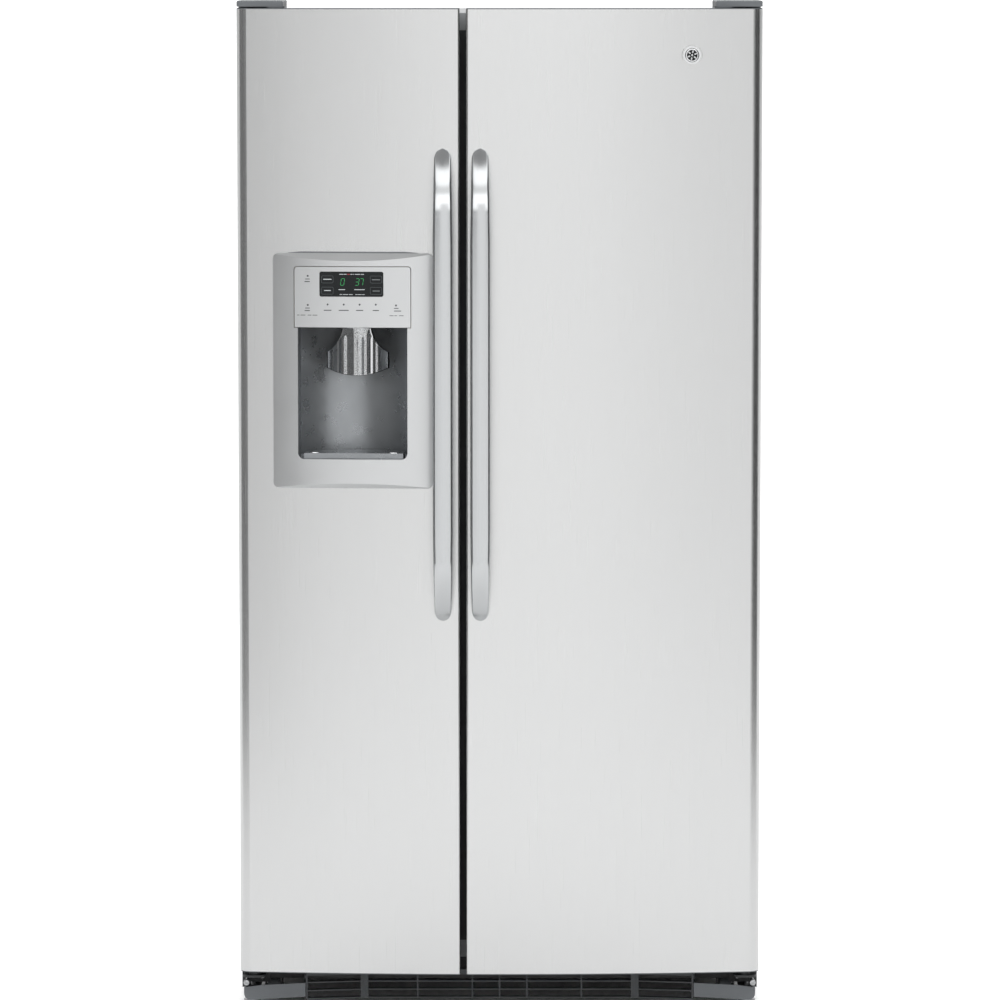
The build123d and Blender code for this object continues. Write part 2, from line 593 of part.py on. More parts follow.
def fresh_shelf_glass():
    x0, x1 = FRESH[0] + 9, FRESH[1] - 9
    return group(*[block(x0, x1, FITTINGS_FRONT + 14, FITTINGS_BACK - 8, z + 6, z + 10) for z in FRESH_SHELVES])


def air_ducts():
    """The cover in front of the evaporator, and the air tower in the fresh food side."""
    x0, x1 = FREEZER
    cover = block(x0, x1, 328, 332, STEP_TOP, 1230)
    cover -= rod_y(EVAP_FAN[0], 327, 333, EVAP_FAN[2], FAN_R + 4)
    x, _, z = EVAP_FAN
    for r in (18, 32, 46):
        cover += rod_y(x, 328, 331, z, r + 1.5) - rod_y(x, 327, 332, z, r - 1.5)
    for a in (0, 60, 120):
        cover += Pos(x, 329.5, z) * Rot(0, a, 0) * Box(2 * FAN_R + 10, 3, 3)
    for row in range(5):
        slot_z = STEP_TOP + 20 + 14 * row
        cover -= block(x0 + 40, x1 - 40, 327, 333, slot_z, slot_z + 6)
    for row in range(4):
        slot_z = 1140 + 16 * row
        cover -= block(x0 + 50, x1 - 50, 327, 333, slot_z, slot_z + 7)
    flange = block(x0, x1, 332, INSIDE_BACK, 1226, 1230)
    tower = rounded(160, 236, 345, INSIDE_BACK, 732, 1660, 10)
    tower -= block(166, 230, 351, INSIDE_BACK + 1, 740, 1650)
    for row in range(10):
        slot_z = 800 + 84 * row
        tower -= block(176, 220, 340, 352, slot_z, slot_z + 10)
    return group(cover + flange, tower)


def light_lenses():
    fresh = fillet(block(120, 270, -90, 20, INSIDE_TOP - 14, INSIDE_TOP).edges().group_by(Axis.Z)[0], 6)
    frozen = fillet(block(-300, -200, -90, 0, INSIDE_TOP - 14, INSIDE_TOP).edges().group_by(Axis.Z)[0], 6)
    return group(fresh, frozen)


def icemaker():
    """Mould tray, gear housing and guard, hung from the side wall."""
    x0, x1, y0, y1, z0 = ICEMAKER
    mould = block(x0 + 30, x1, y0 + 34, y1, z0, z0 + 34)
    for i in range(7):
        y = y0 + 54 + 33 * i
        mould -= Pos((x0 + 30 + x1) / 2, y, z0 + 46) * Rot(90, 0, 0) * Cylinder(38, 27)
    housing = rounded(x0 + 20, x1 + 12, y0, y0 + 34, z0 - 12, z0 + 74, 6)
    guard = block(x0 + 22, x0 + 30, y0 + 34, y1, z0, z0 + 60)
    bracket = block(FREEZER[0], x0 + 22, y0 + 120, y0 + 170, z0 + 30, z0 + 36)
    bore = rod_y(x1 + ARM_OUT, y0 + 24, y0 + 40, z0 + ARM_UP, 4.08)
    return mould + housing + guard + bracket - bore


def icemaker_arm():
    """The shut-off arm: a bent wire that feels for ice in the bucket."""
    _, x1, y0, y1, z0 = ICEMAKER
    x, z = x1 + ARM_OUT, z0 + ARM_UP
    arm = rod_y(x, y0 + 25, y0 + 50, z, 4) + block(x - 3, x + 3, y0 + 44, y0 + 50, z - 27, z)
    return arm + block(x - 3, x + 3, y0 + 44, y1 - 20, z - 27, z - 21)


def ice_bucket():
    """A bin whose nose carries the auger up to the mouth of the door's chute."""
    x0, x1, y0, y1, z0, z1 = BUCKET
    shape = tray(x0, x1, y0, y1, z0, z1, 3, 3, 14)
    nose = block(AUGER_X - 52, AUGER_X + 52, SPOUT_FRONT, y0 + 1, z0 + 4, z1 - 60)
    nose = fillet(nose.edges().filter_by(Axis.Y).sort_by(Axis.Z)[:2], 20)
    shape += nose
    shape -= rod_y(AUGER_X, SPOUT_FRONT + 4, y0 + 10, AUGER_Z, AUGER_R + 2)
    shape -= block(AUGER_X - 34, AUGER_X + 34, SPOUT_FRONT - 1, SPOUT_FRONT + 8, AUGER_Z + 8, AUGER_Z + 46)
    return shape - rod_y(AUGER_X, y1 - 5, y1 + 5, AUGER_Z, 6.08)


def ice_auger():
    """A shaft with paddles set round it in a spiral."""
    y0, y1 = SPOUT_FRONT + 6, BUCKET[3] + 8
    shape = rod_y(AUGER_X, y0, y1, AUGER_Z, 6)
    count = 12
    for i in range(count):
        y = y0 + 24 + (BUCKET[3] - 26 - y0 - 24) / (count - 1) * i
        paddle = Rot(0, 0, 24) * Box(2 * AUGER_R - 8, 3, 12)
        shape += Pos(AUGER_X, y, AUGER_Z) * Rot(0, 36 * i, 0) * paddle
    return shape


# ---------------------------------------------------------------- doors
class Door:
    """The places that one door's pieces share."""

    def __init__(self, x0, x1, compartment, hinge_on_right):
        self.x0, self.x1 = x0, x1
        inner, outer = 4.0, 20.0
        self.radii = (inner, outer) if hinge_on_right else (outer, inner)
        far, near = 16.0, 8.0
        left, right = (far, near) if hinge_on_right else (near, far)
        self.a, self.b = compartment[0] + left, compartment[1] - right
        self.z0, self.z1 = INSIDE_FLOOR + 12, INSIDE_TOP - 12
        self.hinge_x = HINGE_X if hinge_on_right else -HINGE_X
        wide, narrow = (2.0, 3.0) if hinge_on_right else (3.0, 2.0)
        self.seal_x0 = compartment[0] - SEAL_WIDTH - wide
        self.seal_x1 = compartment[1] + SEAL_WIDTH + narrow - 1
        self.seal_z0, self.seal_z1 = INSIDE_FLOOR - 18, INSIDE_TOP + 18
        self.bin_x = (self.a + DIKE + PLASTIC + 1.5, self.b - DIKE - PLASTIC - 1.5)


FREEZER_DOOR = Door(-HALF, GAP_LEFT, FREEZER, False)
FRESH_DOOR = Door(GAP_RIGHT, HALF, FRESH, True)
HOUSING_BUMP = (-367.0, -133.0, 935.0, 1416.0, 58.0)  # x, x, z, z, reach


def skin(door):
    y_back = Y_DOOR - PLASTIC
    outer = door_plan(door.x0, door.x1, 0, y_back, *door.radii)
    inner = door_plan(door.x0, door.x1, SHEET, y_back + 5, *door.radii)
    return plan_solid(outer - inner, DOOR_BOTTOM + CAP_LIP, DOOR_TOP - CAP_LIP)


def caps(door):
    """Top and bottom end caps: a thin lip over the skin and a plug inside it."""
    y_back = Y_DOOR - PLASTIC
    lip = door_plan(door.x0, door.x1, 0.4, y_back, *door.radii)
    plug = door_plan(door.x0, door.x1, SHEET, y_back, *door.radii)
    top = plan_solid(lip, DOOR_TOP - CAP_LIP, DOOR_TOP) + plan_solid(plug, DOOR_TOP - CAP, DOOR_TOP - CAP_LIP)
    low = plan_solid(lip, DOOR_BOTTOM, DOOR_BOTTOM + CAP_LIP)
    low += plan_solid(plug, DOOR_BOTTOM + CAP_LIP, DOOR_BOTTOM + CAP)
    bore = PIN_R + PIN_CLEARANCE
    top -= rod(door.hinge_x, HINGE_Y, DOOR_TOP - CAP - 1, DOOR_TOP + 1, bore)
    low -= rod(door.hinge_x, HINGE_Y, DOOR_BOTTOM - 1, DOOR_BOTTOM + CAP + 1, bore)
    return group(top, low)


def inner_form(door, grow, bump=None):
    """What stands into the compartment behind a door: a raised panel, ridges and sills."""
    y = Y_DOOR - PLASTIC
    a, b, z0, z1 = door.a - grow, door.b + grow, door.z0 - grow, door.z1 + grow
    form = block(a, b, y, Y_DOOR + PANEL_REACH + grow, z0, z1)
    for x0, x1 in ((a, door.a + DIKE + grow), (door.b - DIKE - grow, b)):
        form += block(x0, x1, y, Y_DOOR + DIKE_REACH + grow, z0, z1)
    for za, zb in ((z0, door.z0 + 18 + grow), (door.z1 - 18 - grow, z1)):
        form += block(a, b, y, Y_DOOR + SILL_REACH + grow, za, zb)
    if bump:
        x0, x1, za, zb, reach = bump
        form += block(x0 - grow, x1 + grow, y, Y_DOOR + reach + grow, za - grow, zb + grow)
    return form


def door_slab(door, z0, z1):
    """The full thickness of a door's foam between two heights."""
    plan = door_plan(door.x0, door.x1, SHEET, Y_DOOR - PLASTIC, *door.radii)
    return plan_solid(plan, z0, z1)


def inner_slabs(door, panels):
    """The raised form's foam as separate slabs: ridges, sills, and the panels between them."""
    y = Y_DOOR - PLASTIC
    a, b, z0, z1 = door.a, door.b, door.z0, door.z1
    slabs = [
        block(a, a + DIKE, y, Y_DOOR + DIKE_REACH, z0, z1),
        block(b - DIKE, b, y, Y_DOOR + DIKE_REACH, z0, z1),
        block(a + DIKE, b - DIKE, y, Y_DOOR + SILL_REACH, z0, z0 + 18),
        block(a + DIKE, b - DIKE, y, Y_DOOR + SILL_REACH, z1 - 18, z1),
    ]
    return slabs + [block(a + DIKE, b - DIKE, y, Y_DOOR + PANEL_REACH, za, zb) for za, zb in panels]


def door_liner(door, bins, bump=None):
    """The formed inner sheet: a flat flange, the raised form, and lugs under each bin."""
    flange = block(door.x0 + 0.5, door.x1 - 0.5, Y_DOOR - PLASTIC, Y_DOOR, DOOR_BOTTOM + 0.5, DOOR_TOP - 0.5)
    shape = flange + inner_form(door, PLASTIC, bump) - inner_form(door, 0, bump)
    wall = Y_DOOR + PANEL_REACH + PLASTIC
    for z, _ in bins:
        for x0, x1 in ((door.bin_x[0] - 1.5, door.bin_x[0] + 12), (door.bin_x[1] - 12, door.bin_x[1] + 1.5)):
            shape += block(x0, x1, wall, wall + 22, z - 8, z)
    return shape


def gasket(door):
    """A magnetic seal: base, narrow bellows and magnet strip, in one frame."""
    y0, y1 = Y_DOOR, Y_CASE - 0.4

    def ring(inset, ya, yb):
        outer = block(door.seal_x0 + inset, door.seal_x1 - inset, ya, yb, door.seal_z0 + inset, door.seal_z1 - inset)
        width = SEAL_WIDTH - inset
        hole = block(door.seal_x0 + width, door.seal_x1 - width, ya - 1, yb + 1,
                     door.seal_z0 + width, door.seal_z1 - width)
        return outer - hole

    return ring(0, y0, y0 + 3) + ring(3, y0 + 3, y1 - 4) + ring(0, y1 - 4, y1)


def door_bin(door, z, height):
    x0, x1 = door.bin_x
    y0 = Y_DOOR + PANEL_REACH + PLASTIC + 0.5
    outer = rounded(x0, x1, y0, BIN_FRONT, z, z + height, 10)
    inner = rounded(x0 + BAR_WALL, x1 - BAR_WALL, y0 + BAR_WALL, BIN_FRONT - BAR_WALL, z + BAR_WALL,
                    z + height + 1, 8)
    return outer - inner


def freezer_door_bins():
    return group(*[door_bin(FREEZER_DOOR, z, h) for z, h in FREEZER_BINS])


def fresh_door_bins():
    """The door bins, and the cheese and butter keeper, which is open towards the case."""
    x0, x1 = FRESH_DOOR.bin_x
    y0 = Y_DOOR + PANEL_REACH + PLASTIC + 0.5
    keeper = block(x0, x1, y0, BIN_FRONT, DAIRY_Z0, DAIRY_Z1)
    keeper -= block(x0 + BAR_WALL, x1 - BAR_WALL, y0 + BAR_WALL, BIN_FRONT + 1, DAIRY_Z0 + BAR_WALL,
                    DAIRY_Z1 - BAR_WALL)
    for a, b in ((x0, x0 + 4), (x1 - 4, x1)):
        keeper += block(a, b, BIN_FRONT - 12, BIN_FRONT + 8, DAIRY_AXIS_Z - 6, DAIRY_Z1)
    keeper -= rod_x(x0 + 1, x1 - 1, BIN_FRONT + FLAP_AXIS, DAIRY_AXIS_Z, 2.08)
    return group(*[door_bin(FRESH_DOOR, z, h) for z, h in FRESH_BINS], keeper)


def dairy_cover():
    """The keeper's flap, hinged on two pins along its top edge."""
    x0, x1 = FRESH_DOOR.bin_x
    y = BIN_FRONT + FLAP_AXIS
    flap = block(x0 + 4.4, x1 - 4.4, y - 1.9, y + 1.9, DAIRY_Z0 + 2, DAIRY_AXIS_Z)
    barrel = rod_x(x0 + 4.4, x1 - 4.4, y, DAIRY_AXIS_Z, 3.2)
    pins = rod_x(x0 + 1.4, x1 - 1.4, y, DAIRY_AXIS_Z, 2)
    return flap + barrel + pins


def handle_bar(x):
    """A flat bowed bar whose two ends sweep back to the door in long bends."""
    y0 = front_y(x) - 0.5
    y_end = Y_APEX - HANDLE_REACH + HANDLE_BELLY
    mid = (HANDLE_Z0 + HANDLE_Z1) / 2
    outline = None
    for depth, foot in ((0, 0), (HANDLE_T, 1.4 * HANDLE_T)):
        y, z = y_end + depth, HANDLE_Z1 - HANDLE_BEND
        face = ThreePointArc((y, 2 * mid - z), (y - HANDLE_BELLY, mid), (y, z))
        top = TangentArc((y, z), (y0, HANDLE_Z1 - foot), tangent=face % 1)
        low = TangentArc((y, 2 * mid - z), (y0, HANDLE_Z0 + foot), tangent=(face % 0) * -1)
        outline = low + face + top if outline is None else outline + low + face + top
    for z in (HANDLE_Z0, HANDLE_Z1 - 1.4 * HANDLE_T):
        outline += Line((y0, z), (y0, z + 1.4 * HANDLE_T))
    profile = Plane.YZ * make_face(outline)
    bar = Pos(x - HANDLE_W / 2, 0, 0) * extrude(profile, HANDLE_W)
    front = make_face(Polyline(*[(x + s * w, z) for s, w, z in (
        (-1, HANDLE_TIP, HANDLE_Z0), (1, HANDLE_TIP, HANDLE_Z0), (1, HANDLE_W / 2, HANDLE_Z0 + 160),
        (1, HANDLE_W / 2, HANDLE_Z1 - 160), (1, HANDLE_TIP, HANDLE_Z1), (-1, HANDLE_TIP, HANDLE_Z1),
        (-1, HANDLE_W / 2, HANDLE_Z1 - 160), (-1, HANDLE_W / 2, HANDLE_Z0 + 160))], close=True))
    tips = front.vertices().group_by(Axis.Y)
    front = fillet(tips[0] + tips[-1], 11)
    return bar & (Pos(0, y0 + 5, 0) * Rot(90, 0, 0) * extrude(front, HANDLE_REACH + 100))


def stud(x, z, deep):
    """A threaded stud that holds one end of a handle."""
    y0 = front_y(x)
    return rod_y(x, y0 - deep, y0 + 18, z, 3)


def handle(x):
    bar, studs = handle_bar(x), []
    for z in (HANDLE_Z0 + STUD_INSET, HANDLE_Z1 - STUD_INSET):
        studs.append(stud(x, z, 6))
        bar -= studs[-1]
    return group(bar, *studs)


def stud_holes(x):
    return [stud(x, z, 2) for z in (HANDLE_Z0 + STUD_INSET, HANDLE_Z1 - STUD_INSET)]


# ---------------------------------------------------------------- dispenser
def bezel_plan(grow=0.0):
    half = BEZEL_W / 2 + grow
    side_y = half**2 / (2 * BOW_RADIUS) - 0.05
    crown = ThreePointArc((-half, -RIM), (0, -RIM - BULGE), (half, -RIM))
    seat = ThreePointArc((half, side_y), (0, -0.05), (-half, side_y))
    return make_face(crown + Line((half, -RIM), (half, side_y)) + seat + Line((-half, side_y), (-half, -RIM)))


def panel_recess(grow):
    """The opening in the bezel for the control panel."""
    half = PANEL_W / 2 + grow
    return rounded_y(-half, half, -40, 40, PANEL_Z0 - grow, PANEL_Z1 + grow, 6, top_only=True)


def rounded_y(x0, x1, y0, y1, z0, z1, r, top_only=False, low_only=False):
    """A box with its edges along Y rounded, all four or one pair."""
    solid = block(x0, x1, y0, y1, z0, z1)
    edges = solid.edges().filter_by(Axis.Y).sort_by(Axis.Z)
    if top_only:
        edges = edges[2:]
    elif low_only:
        edges = edges[:2]
    return fillet(edges, r)


def cavity_plan(grow):
    """The recess in plan: straight sides, then a curved back."""
    half, side, depth = CAVITY_W / 2 + grow, CAVITY_SIDE, CAVITY_DEPTH + grow
    back = ThreePointArc((half, side), (0, depth), (-half, side))
    return make_face(back + Polyline((-half, side), (-half, -1), (half, -1), (half, side)))


def dispenser_bezel():
    """The raised frame round the recess: crowned across, sloped back at its top and bottom."""
    body = extrude(Pos(0, 0, BEZEL_Z0) * bezel_plan(), BEZEL_Z1 - BEZEL_Z0)
    for z, away, slope in ((BEZEL_Z1, 1, 12.0), (BEZEL_Z0, -1, 8.0)):
        y0, y1 = 1 - RIM, 1 - RIM - 2 * BULGE
        wedge = Polyline((y0, z), (y1, z - 2 * away * slope), (y1, z + away * 5), (y0, z + away * 5), close=True)
        body -= Pos(-BEZEL_W, 0, 0) * extrude(Plane.YZ * make_face(wedge), 2 * BEZEL_W)
    half = BEZEL_W / 2
    body &= rounded_y(-half - 0.01, half + 0.01, -40, 40, BEZEL_Z0 - 0.01, BEZEL_Z1 + 0.01, 10)
    opening = rounded_y(-CAVITY_W / 2, CAVITY_W / 2, -40, 40, CAVITY_Z0, PANEL_Z0 + 4, 11, low_only=True)
    return DISPENSER * (body - opening - panel_recess(1.2))


def dispenser_housing():
    """The recess behind the bezel: a thin curved wall with a floor and a roof."""
    outer = extrude(Pos(0, 0, CAVITY_Z0 - WALL) * cavity_plan(WALL), CAVITY_Z1 - CAVITY_Z0 + 2 * WALL)
    inner = extrude(Pos(0, 0, CAVITY_Z0) * cavity_plan(0), CAVITY_Z1 - CAVITY_Z0)
    shell = outer - inner
    shell -= block(-200, 200, -20, 1.2, 0, 2000)
    for x in (-42, 42):
        ear = block(x - 2, x + 2, CRADLE_PIVOT_Y - 7, CRADLE_PIVOT_Y + 7, CRADLE_PIVOT_Z - 8, CAVITY_Z1)
        shell += ear - rod_x(x - 3, x + 3, CRADLE_PIVOT_Y, CRADLE_PIVOT_Z, 5.08)
    shell -= block(-CHUTE_W / 2 + WALL, CHUTE_W / 2 - WALL, CHUTE_Y0 + WALL, CHUTE_Y1 - WALL,
                   CAVITY_Z1 - 1, CAVITY_Z1 + 10)
    ledge = block(-CAVITY_W, CAVITY_W, -5, 200, CAVITY_Z0, CAVITY_Z0 + 5)
    ledge -= extrude(Pos(0, 0, CAVITY_Z0 - 1) * cavity_plan(-8), 8)
    ledge &= extrude(Pos(0, 0, CAVITY_Z0) * cavity_plan(0), 5) - block(-200, 200, -20, 36, 0, 2000)
    return DISPENSER * (shell + ledge)


def drip_tray():
    """A shallow removable tray on the floor of the recess."""
    z0 = CAVITY_Z0 + 0.3
    body = extrude(Pos(0, 0, z0) * cavity_plan(-9), 9)
    body &= block(-200, 200, 4, 200, 0, 2000)
    dish = extrude(Pos(0, 0, z0 + 3) * cavity_plan(-15), 10) & block(-200, 200, 11, 200, 0, 2000)
    body -= dish
    for i in range(9):
        x = (i - 4) * 17
        body += block(x - 1.2, x + 1.2, 12, 56, z0 + 2, z0 + 6)
    return DISPENSER * body


def control_panel():
    """The moulded panel over the recess, with a seat for the display window."""
    half = PANEL_W / 2
    body = rounded_y(-half, half, -12.6, 0.9, PANEL_Z0, PANEL_Z1, 5, top_only=True)
    face = extrude(Pos(0, 0, PANEL_Z0 - 1) * make_face(
        ThreePointArc((-half - 1, -8.6), (0, -12.4), (half + 1, -8.6))
        + Polyline((half + 1, -8.6), (half + 1, 30), (-half - 1, 30), (-half - 1, -8.6))), 110)
    body &= face
    body -= block(-half + 3, half - 3, -6, 30, PANEL_Z0 + 3, PANEL_Z1 - 3)
    body -= rounded_y(WINDOW_X0, WINDOW_X1, -20, -9.6, WINDOW_Z0, WINDOW_Z1, 3.5)
    return DISPENSER * body


def display_window():
    return DISPENSER * (rounded_y(WINDOW_X0 + 0.2, WINDOW_X1 - 0.2, -11.0, -9.6, WINDOW_Z0 + 0.2,
                                  WINDOW_Z1 - 0.2, 3.3))


def cradle_outline():
    """The actuator seen from the front: a bell with a curved lower edge."""
    half, z_low, z_side, z_shoulder, z_top, neck = CRADLE_W / 2, 1118.5, 1130.0, 1157.0, 1200.0, 24.0
    bottom = ThreePointArc((-half, z_side), (0, z_low), (half, z_side))
    right = Line((half, z_side), (half, z_shoulder))
    right += ThreePointArc((half, z_shoulder), (34, 1175), (neck, z_top))
    left = ThreePointArc((-neck, z_top), (-34, 1175), (-half, z_shoulder))
    left += Line((-half, z_shoulder), (-half, z_side))
    return make_face(bottom + right + Line((neck, z_top), (-neck, z_top)) + left)


def dispenser_cradle():
    """The curved lever that a glass pushes, on a pivot behind the control panel."""
    half, t = CRADLE_W / 2, 3.0

    def curve(shift):
        return ThreePointArc((-half - 4, CRADLE_SIDE + shift), (0, CRADLE_FRONT + shift), (half + 4, CRADLE_SIDE + shift))

    strip = make_face(curve(0) + Line((half + 4, CRADLE_SIDE), (half + 4, CRADLE_SIDE + t))
                      + ThreePointArc((half + 4, CRADLE_SIDE + t), (0, CRADLE_FRONT + t), (-half - 4, CRADLE_SIDE + t))
                      + Line((-half - 4, CRADLE_SIDE + t), (-half - 4, CRADLE_SIDE)))
    sheet = extrude(Pos(0, 0, 1090) * strip, 120)
    window = Pos(0, 100, 0) * Rot(90, 0, 0) * extrude(cradle_outline(), 120)
    shield = Pos(CRADLE_X, 0, 0) * (sheet & window)
    arm = block(-14, 14, CRADLE_FRONT + 1.5, CRADLE_PIVOT_Y, 1194, 1200)
    post = block(-14, 14, CRADLE_PIVOT_Y - 6, CRADLE_PIVOT_Y, 1194, CRADLE_PIVOT_Z)
    pivot = rod_x(-45, 45, CRADLE_PIVOT_Y, CRADLE_PIVOT_Z, 5)
    return DISPENSER * (shield + arm + post + pivot)


def ice_chute():
    """The duct that ice falls down: a mouth at the back of the door, then a drop to the recess."""
    half = CHUTE_W / 2
    y_back = Y_DOOR + HOUSING_BUMP[4] - front_y(DISP_X) + PLASTIC
    z0 = CAVITY_Z1 + WALL
    drop = block(-half, half, CHUTE_Y0, CHUTE_Y1, z0, CHUTE_TOP)
    inner_drop = block(-half + WALL, half - WALL, CHUTE_Y0 + WALL, CHUTE_Y1 - WALL, z0 - 1, CHUTE_TOP - WALL)
    run = block(-half, half, CHUTE_Y0, y_back + 12, CHUTE_MOUTH, CHUTE_TOP)
    inner_run = block(-half + WALL, half - WALL, CHUTE_Y0 + WALL, y_back + 20, CHUTE_MOUTH + WALL, CHUTE_TOP - WALL)
    chute = drop + run - inner_drop - inner_run
    return DISPENSER * (chute - rod_x(-half, half, FLAP_Y, FLAP_Z, 2.58))


def duct_flap():
    """The flap that keeps cold air in the chute until the cradle is pushed."""
    half = CHUTE_W / 2 - WALL - 0.5
    flap = block(-half, half, FLAP_Y, CHUTE_Y1 - WALL - 0.5, FLAP_Z - 1, FLAP_Z + 1)
    return DISPENSER * (flap + rod_x(-CHUTE_W / 2 + 0.4, CHUTE_W / 2 - 0.4, FLAP_Y, FLAP_Z, 2.5))


def dispenser_pocket():
    """Everything that the freezer door's liner leaves room for."""
    half = CHUTE_W / 2
    return DISPENSER * block(-half, half, CHUTE_Y0, 200, CHUTE_MOUTH, CHUTE_TOP)


def bezel_opening():
    half = BEZEL_W / 2 - 4
    return DISPENSER * block(-half, half, -30, 6, BEZEL_Z0 + 4, BEZEL_Z1 - 4)


def recess_slabs():
    """The freezer door's foam around the recess and the chute, cut so that each piece is convex."""
    z0, z1 = CAVITY_Z0 - WALL, CAVITY_Z1 + WALL
    half, edge, far = CHUTE_W / 2, CAVITY_W / 2 + WALL, 400.0
    x0, x1, bump_z0, bump_z1, reach = HOUSING_BUMP
    slab = door_slab(FREEZER_DOOR, z0, CHUTE_TOP)
    bump = block(x0, x1, Y_DOOR - PLASTIC, Y_DOOR + reach, z0, CHUTE_TOP)
    slabs = [
        block(x0, x1, Y_DOOR - PLASTIC, Y_DOOR + reach, bump_z0, z0),
        block(x0, x1, Y_DOOR - PLASTIC, Y_DOOR + reach, CHUTE_TOP, bump_z1),
    ]
    for a, b in ((-far, -edge), (edge, far)):
        cell = DISPENSER * block(a, b, -60, far, z0, CHUTE_TOP)
        slabs += [slab & cell, bump & cell]
    cells = [(-edge, -half, -60, far, z1, CHUTE_TOP), (half, edge, -60, far, z1, CHUTE_TOP)]
    cells += [(-half, half, -60, CHUTE_Y0, z1, CHUTE_TOP), (-half, half, CHUTE_Y1, far, z1, CHUTE_MOUTH)]
    slabs += [(slab + bump) & (DISPENSER * block(*cell)) for cell in cells]
    hollow = extrude(Pos(0, 0, z0) * cavity_plan(WALL), z1 - z0)
    step = 2 * edge / 8
    for i in range(8):
        cell = block(-edge + step * i, -edge + step * (i + 1), 20, far, z0, z1)
        slabs.append((slab + bump) & (DISPENSER * (cell - hollow)))
    return slabs


# ---------------------------------------------------------------- door pieces by name
def freezer_door_skin():
    shape = skin(FREEZER_DOOR) - bezel_opening()
    for hole in stud_holes(FREEZER_HANDLE_X):
        shape -= hole
    return shape


def without_stud_holes(shapes, x):
    for hole in stud_holes(x):
        shapes = [shape - hole for shape in shapes]
    return group(*shapes)


def freezer_door_foam():
    door, bump = FREEZER_DOOR, HOUSING_BUMP
    slabs = [
        door_slab(door, DOOR_BOTTOM + CAP, CAVITY_Z0 - WALL),
        door_slab(door, CHUTE_TOP, DOOR_TOP - CAP),
    ]
    panels = [(door.z0 + 18, bump[2]), (bump[3], door.z1 - 18)]
    return without_stud_holes(slabs + recess_slabs() + inner_slabs(door, panels), FREEZER_HANDLE_X)


def freezer_door_liner():
    return door_liner(FREEZER_DOOR, FREEZER_BINS, HOUSING_BUMP) - dispenser_pocket()


def fresh_door_skin():
    shape = skin(FRESH_DOOR)
    for hole in stud_holes(FRESH_HANDLE_X):
        shape -= hole
    return shape


def fresh_door_foam():
    door = FRESH_DOOR
    slabs = [door_slab(door, DOOR_BOTTOM + CAP, DOOR_TOP - CAP)]
    return without_stud_holes(slabs + inner_slabs(door, [(door.z0 + 18, door.z1 - 18)]), FRESH_HANDLE_X)


def badge():
    """A plain round badge: a ring around a low dome."""
    turn = math.degrees(math.asin(BADGE_X / BOW_RADIUS))
    disc = Pos(0, -0.1, 0) * Rot(90, 0, 0) * extrude(Circle(BADGE_R), 2.4)
    disc = fillet(disc.edges().group_by(Axis.Y)[0], 1)
    disc -= Rot(90, 0, 0) * Pos(0, 0, 1.2) * extrude(Circle(BADGE_R - 5.5), 3)
    dome = Pos(0, -1.2, 0) * Rot(90, 0, 0) * extrude(Circle(BADGE_R - 6.2), 1.6)
    dome = fillet(dome.edges().group_by(Axis.Y)[0], 1.2)
    return Pos(BADGE_X, front_y(BADGE_X), BADGE_Z) * Rot(0, 0, turn) * (disc + dome)


SUB_PARTS = {
    "cabinet_shell": cabinet_shell,
    "rear_panel": rear_panel,
    "insulation": insulation,
    "freezer_liner": freezer_liner,
    "fresh_food_liner": fresh_food_liner,
    "base_frame": base_frame,
    "base_grille": base_grille,
    "leg_covers": leg_covers,
    "door_hinges": door_hinges,
    "hinge_covers": hinge_covers,
    "machine_cover": machine_cover,
    "compressor": compressor,
    "condenser_coil": condenser_coil,
    "water_parts": water_parts,
    "evaporator": evaporator,
    "air_ducts": air_ducts,
    "motors": motors,
    "icemaker": icemaker,
    "icemaker_arm": icemaker_arm,
    "freezer_shelves": freezer_shelves,
    "fresh_shelf_frames": fresh_shelf_frames,
    "fresh_shelf_glass": fresh_shelf_glass,
    "light_lenses": light_lenses,
    "evaporator_fan": evaporator_fan,
    "condenser_fan": condenser_fan,
    "front_rollers": lambda: roller_pair(FRONT_ROLLER_Y, FRONT_ROLLER_R),
    "rear_rollers": lambda: roller_pair(REAR_ROLLER_Y, REAR_ROLLER_R),
    "leveling_leg_left": lambda: leveling_leg(-1),
    "leveling_leg_right": lambda: leveling_leg(1),
    "crisper_lower": crisper_lower,
    "crisper_upper": crisper_upper,
    "meat_drawer": meat_drawer,
    "freezer_basket_lower": freezer_basket_lower,
    "freezer_basket_upper": freezer_basket_upper,
    "ice_bucket": ice_bucket,
    "ice_auger": ice_auger,
    "freezer_door_skin": freezer_door_skin,
    "freezer_door_foam": freezer_door_foam,
    "freezer_door_liner": freezer_door_liner,
    "freezer_door_caps": lambda: caps(FREEZER_DOOR),
    "freezer_door_gasket": lambda: gasket(FREEZER_DOOR),
    "freezer_handle": lambda: handle(FREEZER_HANDLE_X),
    "freezer_door_bins": freezer_door_bins,
    "dispenser_bezel": dispenser_bezel,
    "dispenser_housing": dispenser_housing,
    "control_panel": control_panel,
    "display_window": display_window,
    "dispenser_cradle": dispenser_cradle,
    "ice_chute": ice_chute,
    "duct_flap": duct_flap,
    "drip_tray": drip_tray,
    "fresh_door_skin": fresh_door_skin,
    "fresh_door_foam": fresh_door_foam,
    "fresh_door_liner": lambda: door_liner(FRESH_DOOR, FRESH_BINS),
    "fresh_door_caps": lambda: caps(FRESH_DOOR),
    "fresh_door_gasket": lambda: gasket(FRESH_DOOR),
    "fresh_handle": lambda: handle(FRESH_HANDLE_X),
    "fresh_door_bins": fresh_door_bins,
    "dairy_cover": dairy_cover,
    "badge": badge,
}

os.makedirs("parts", exist_ok=True)
for name, make in SUB_PARTS.items():
    export_step(make(), f"parts/{name}.step")
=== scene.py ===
import math

import bmesh
import bpy
from mathutils import Matrix, Vector


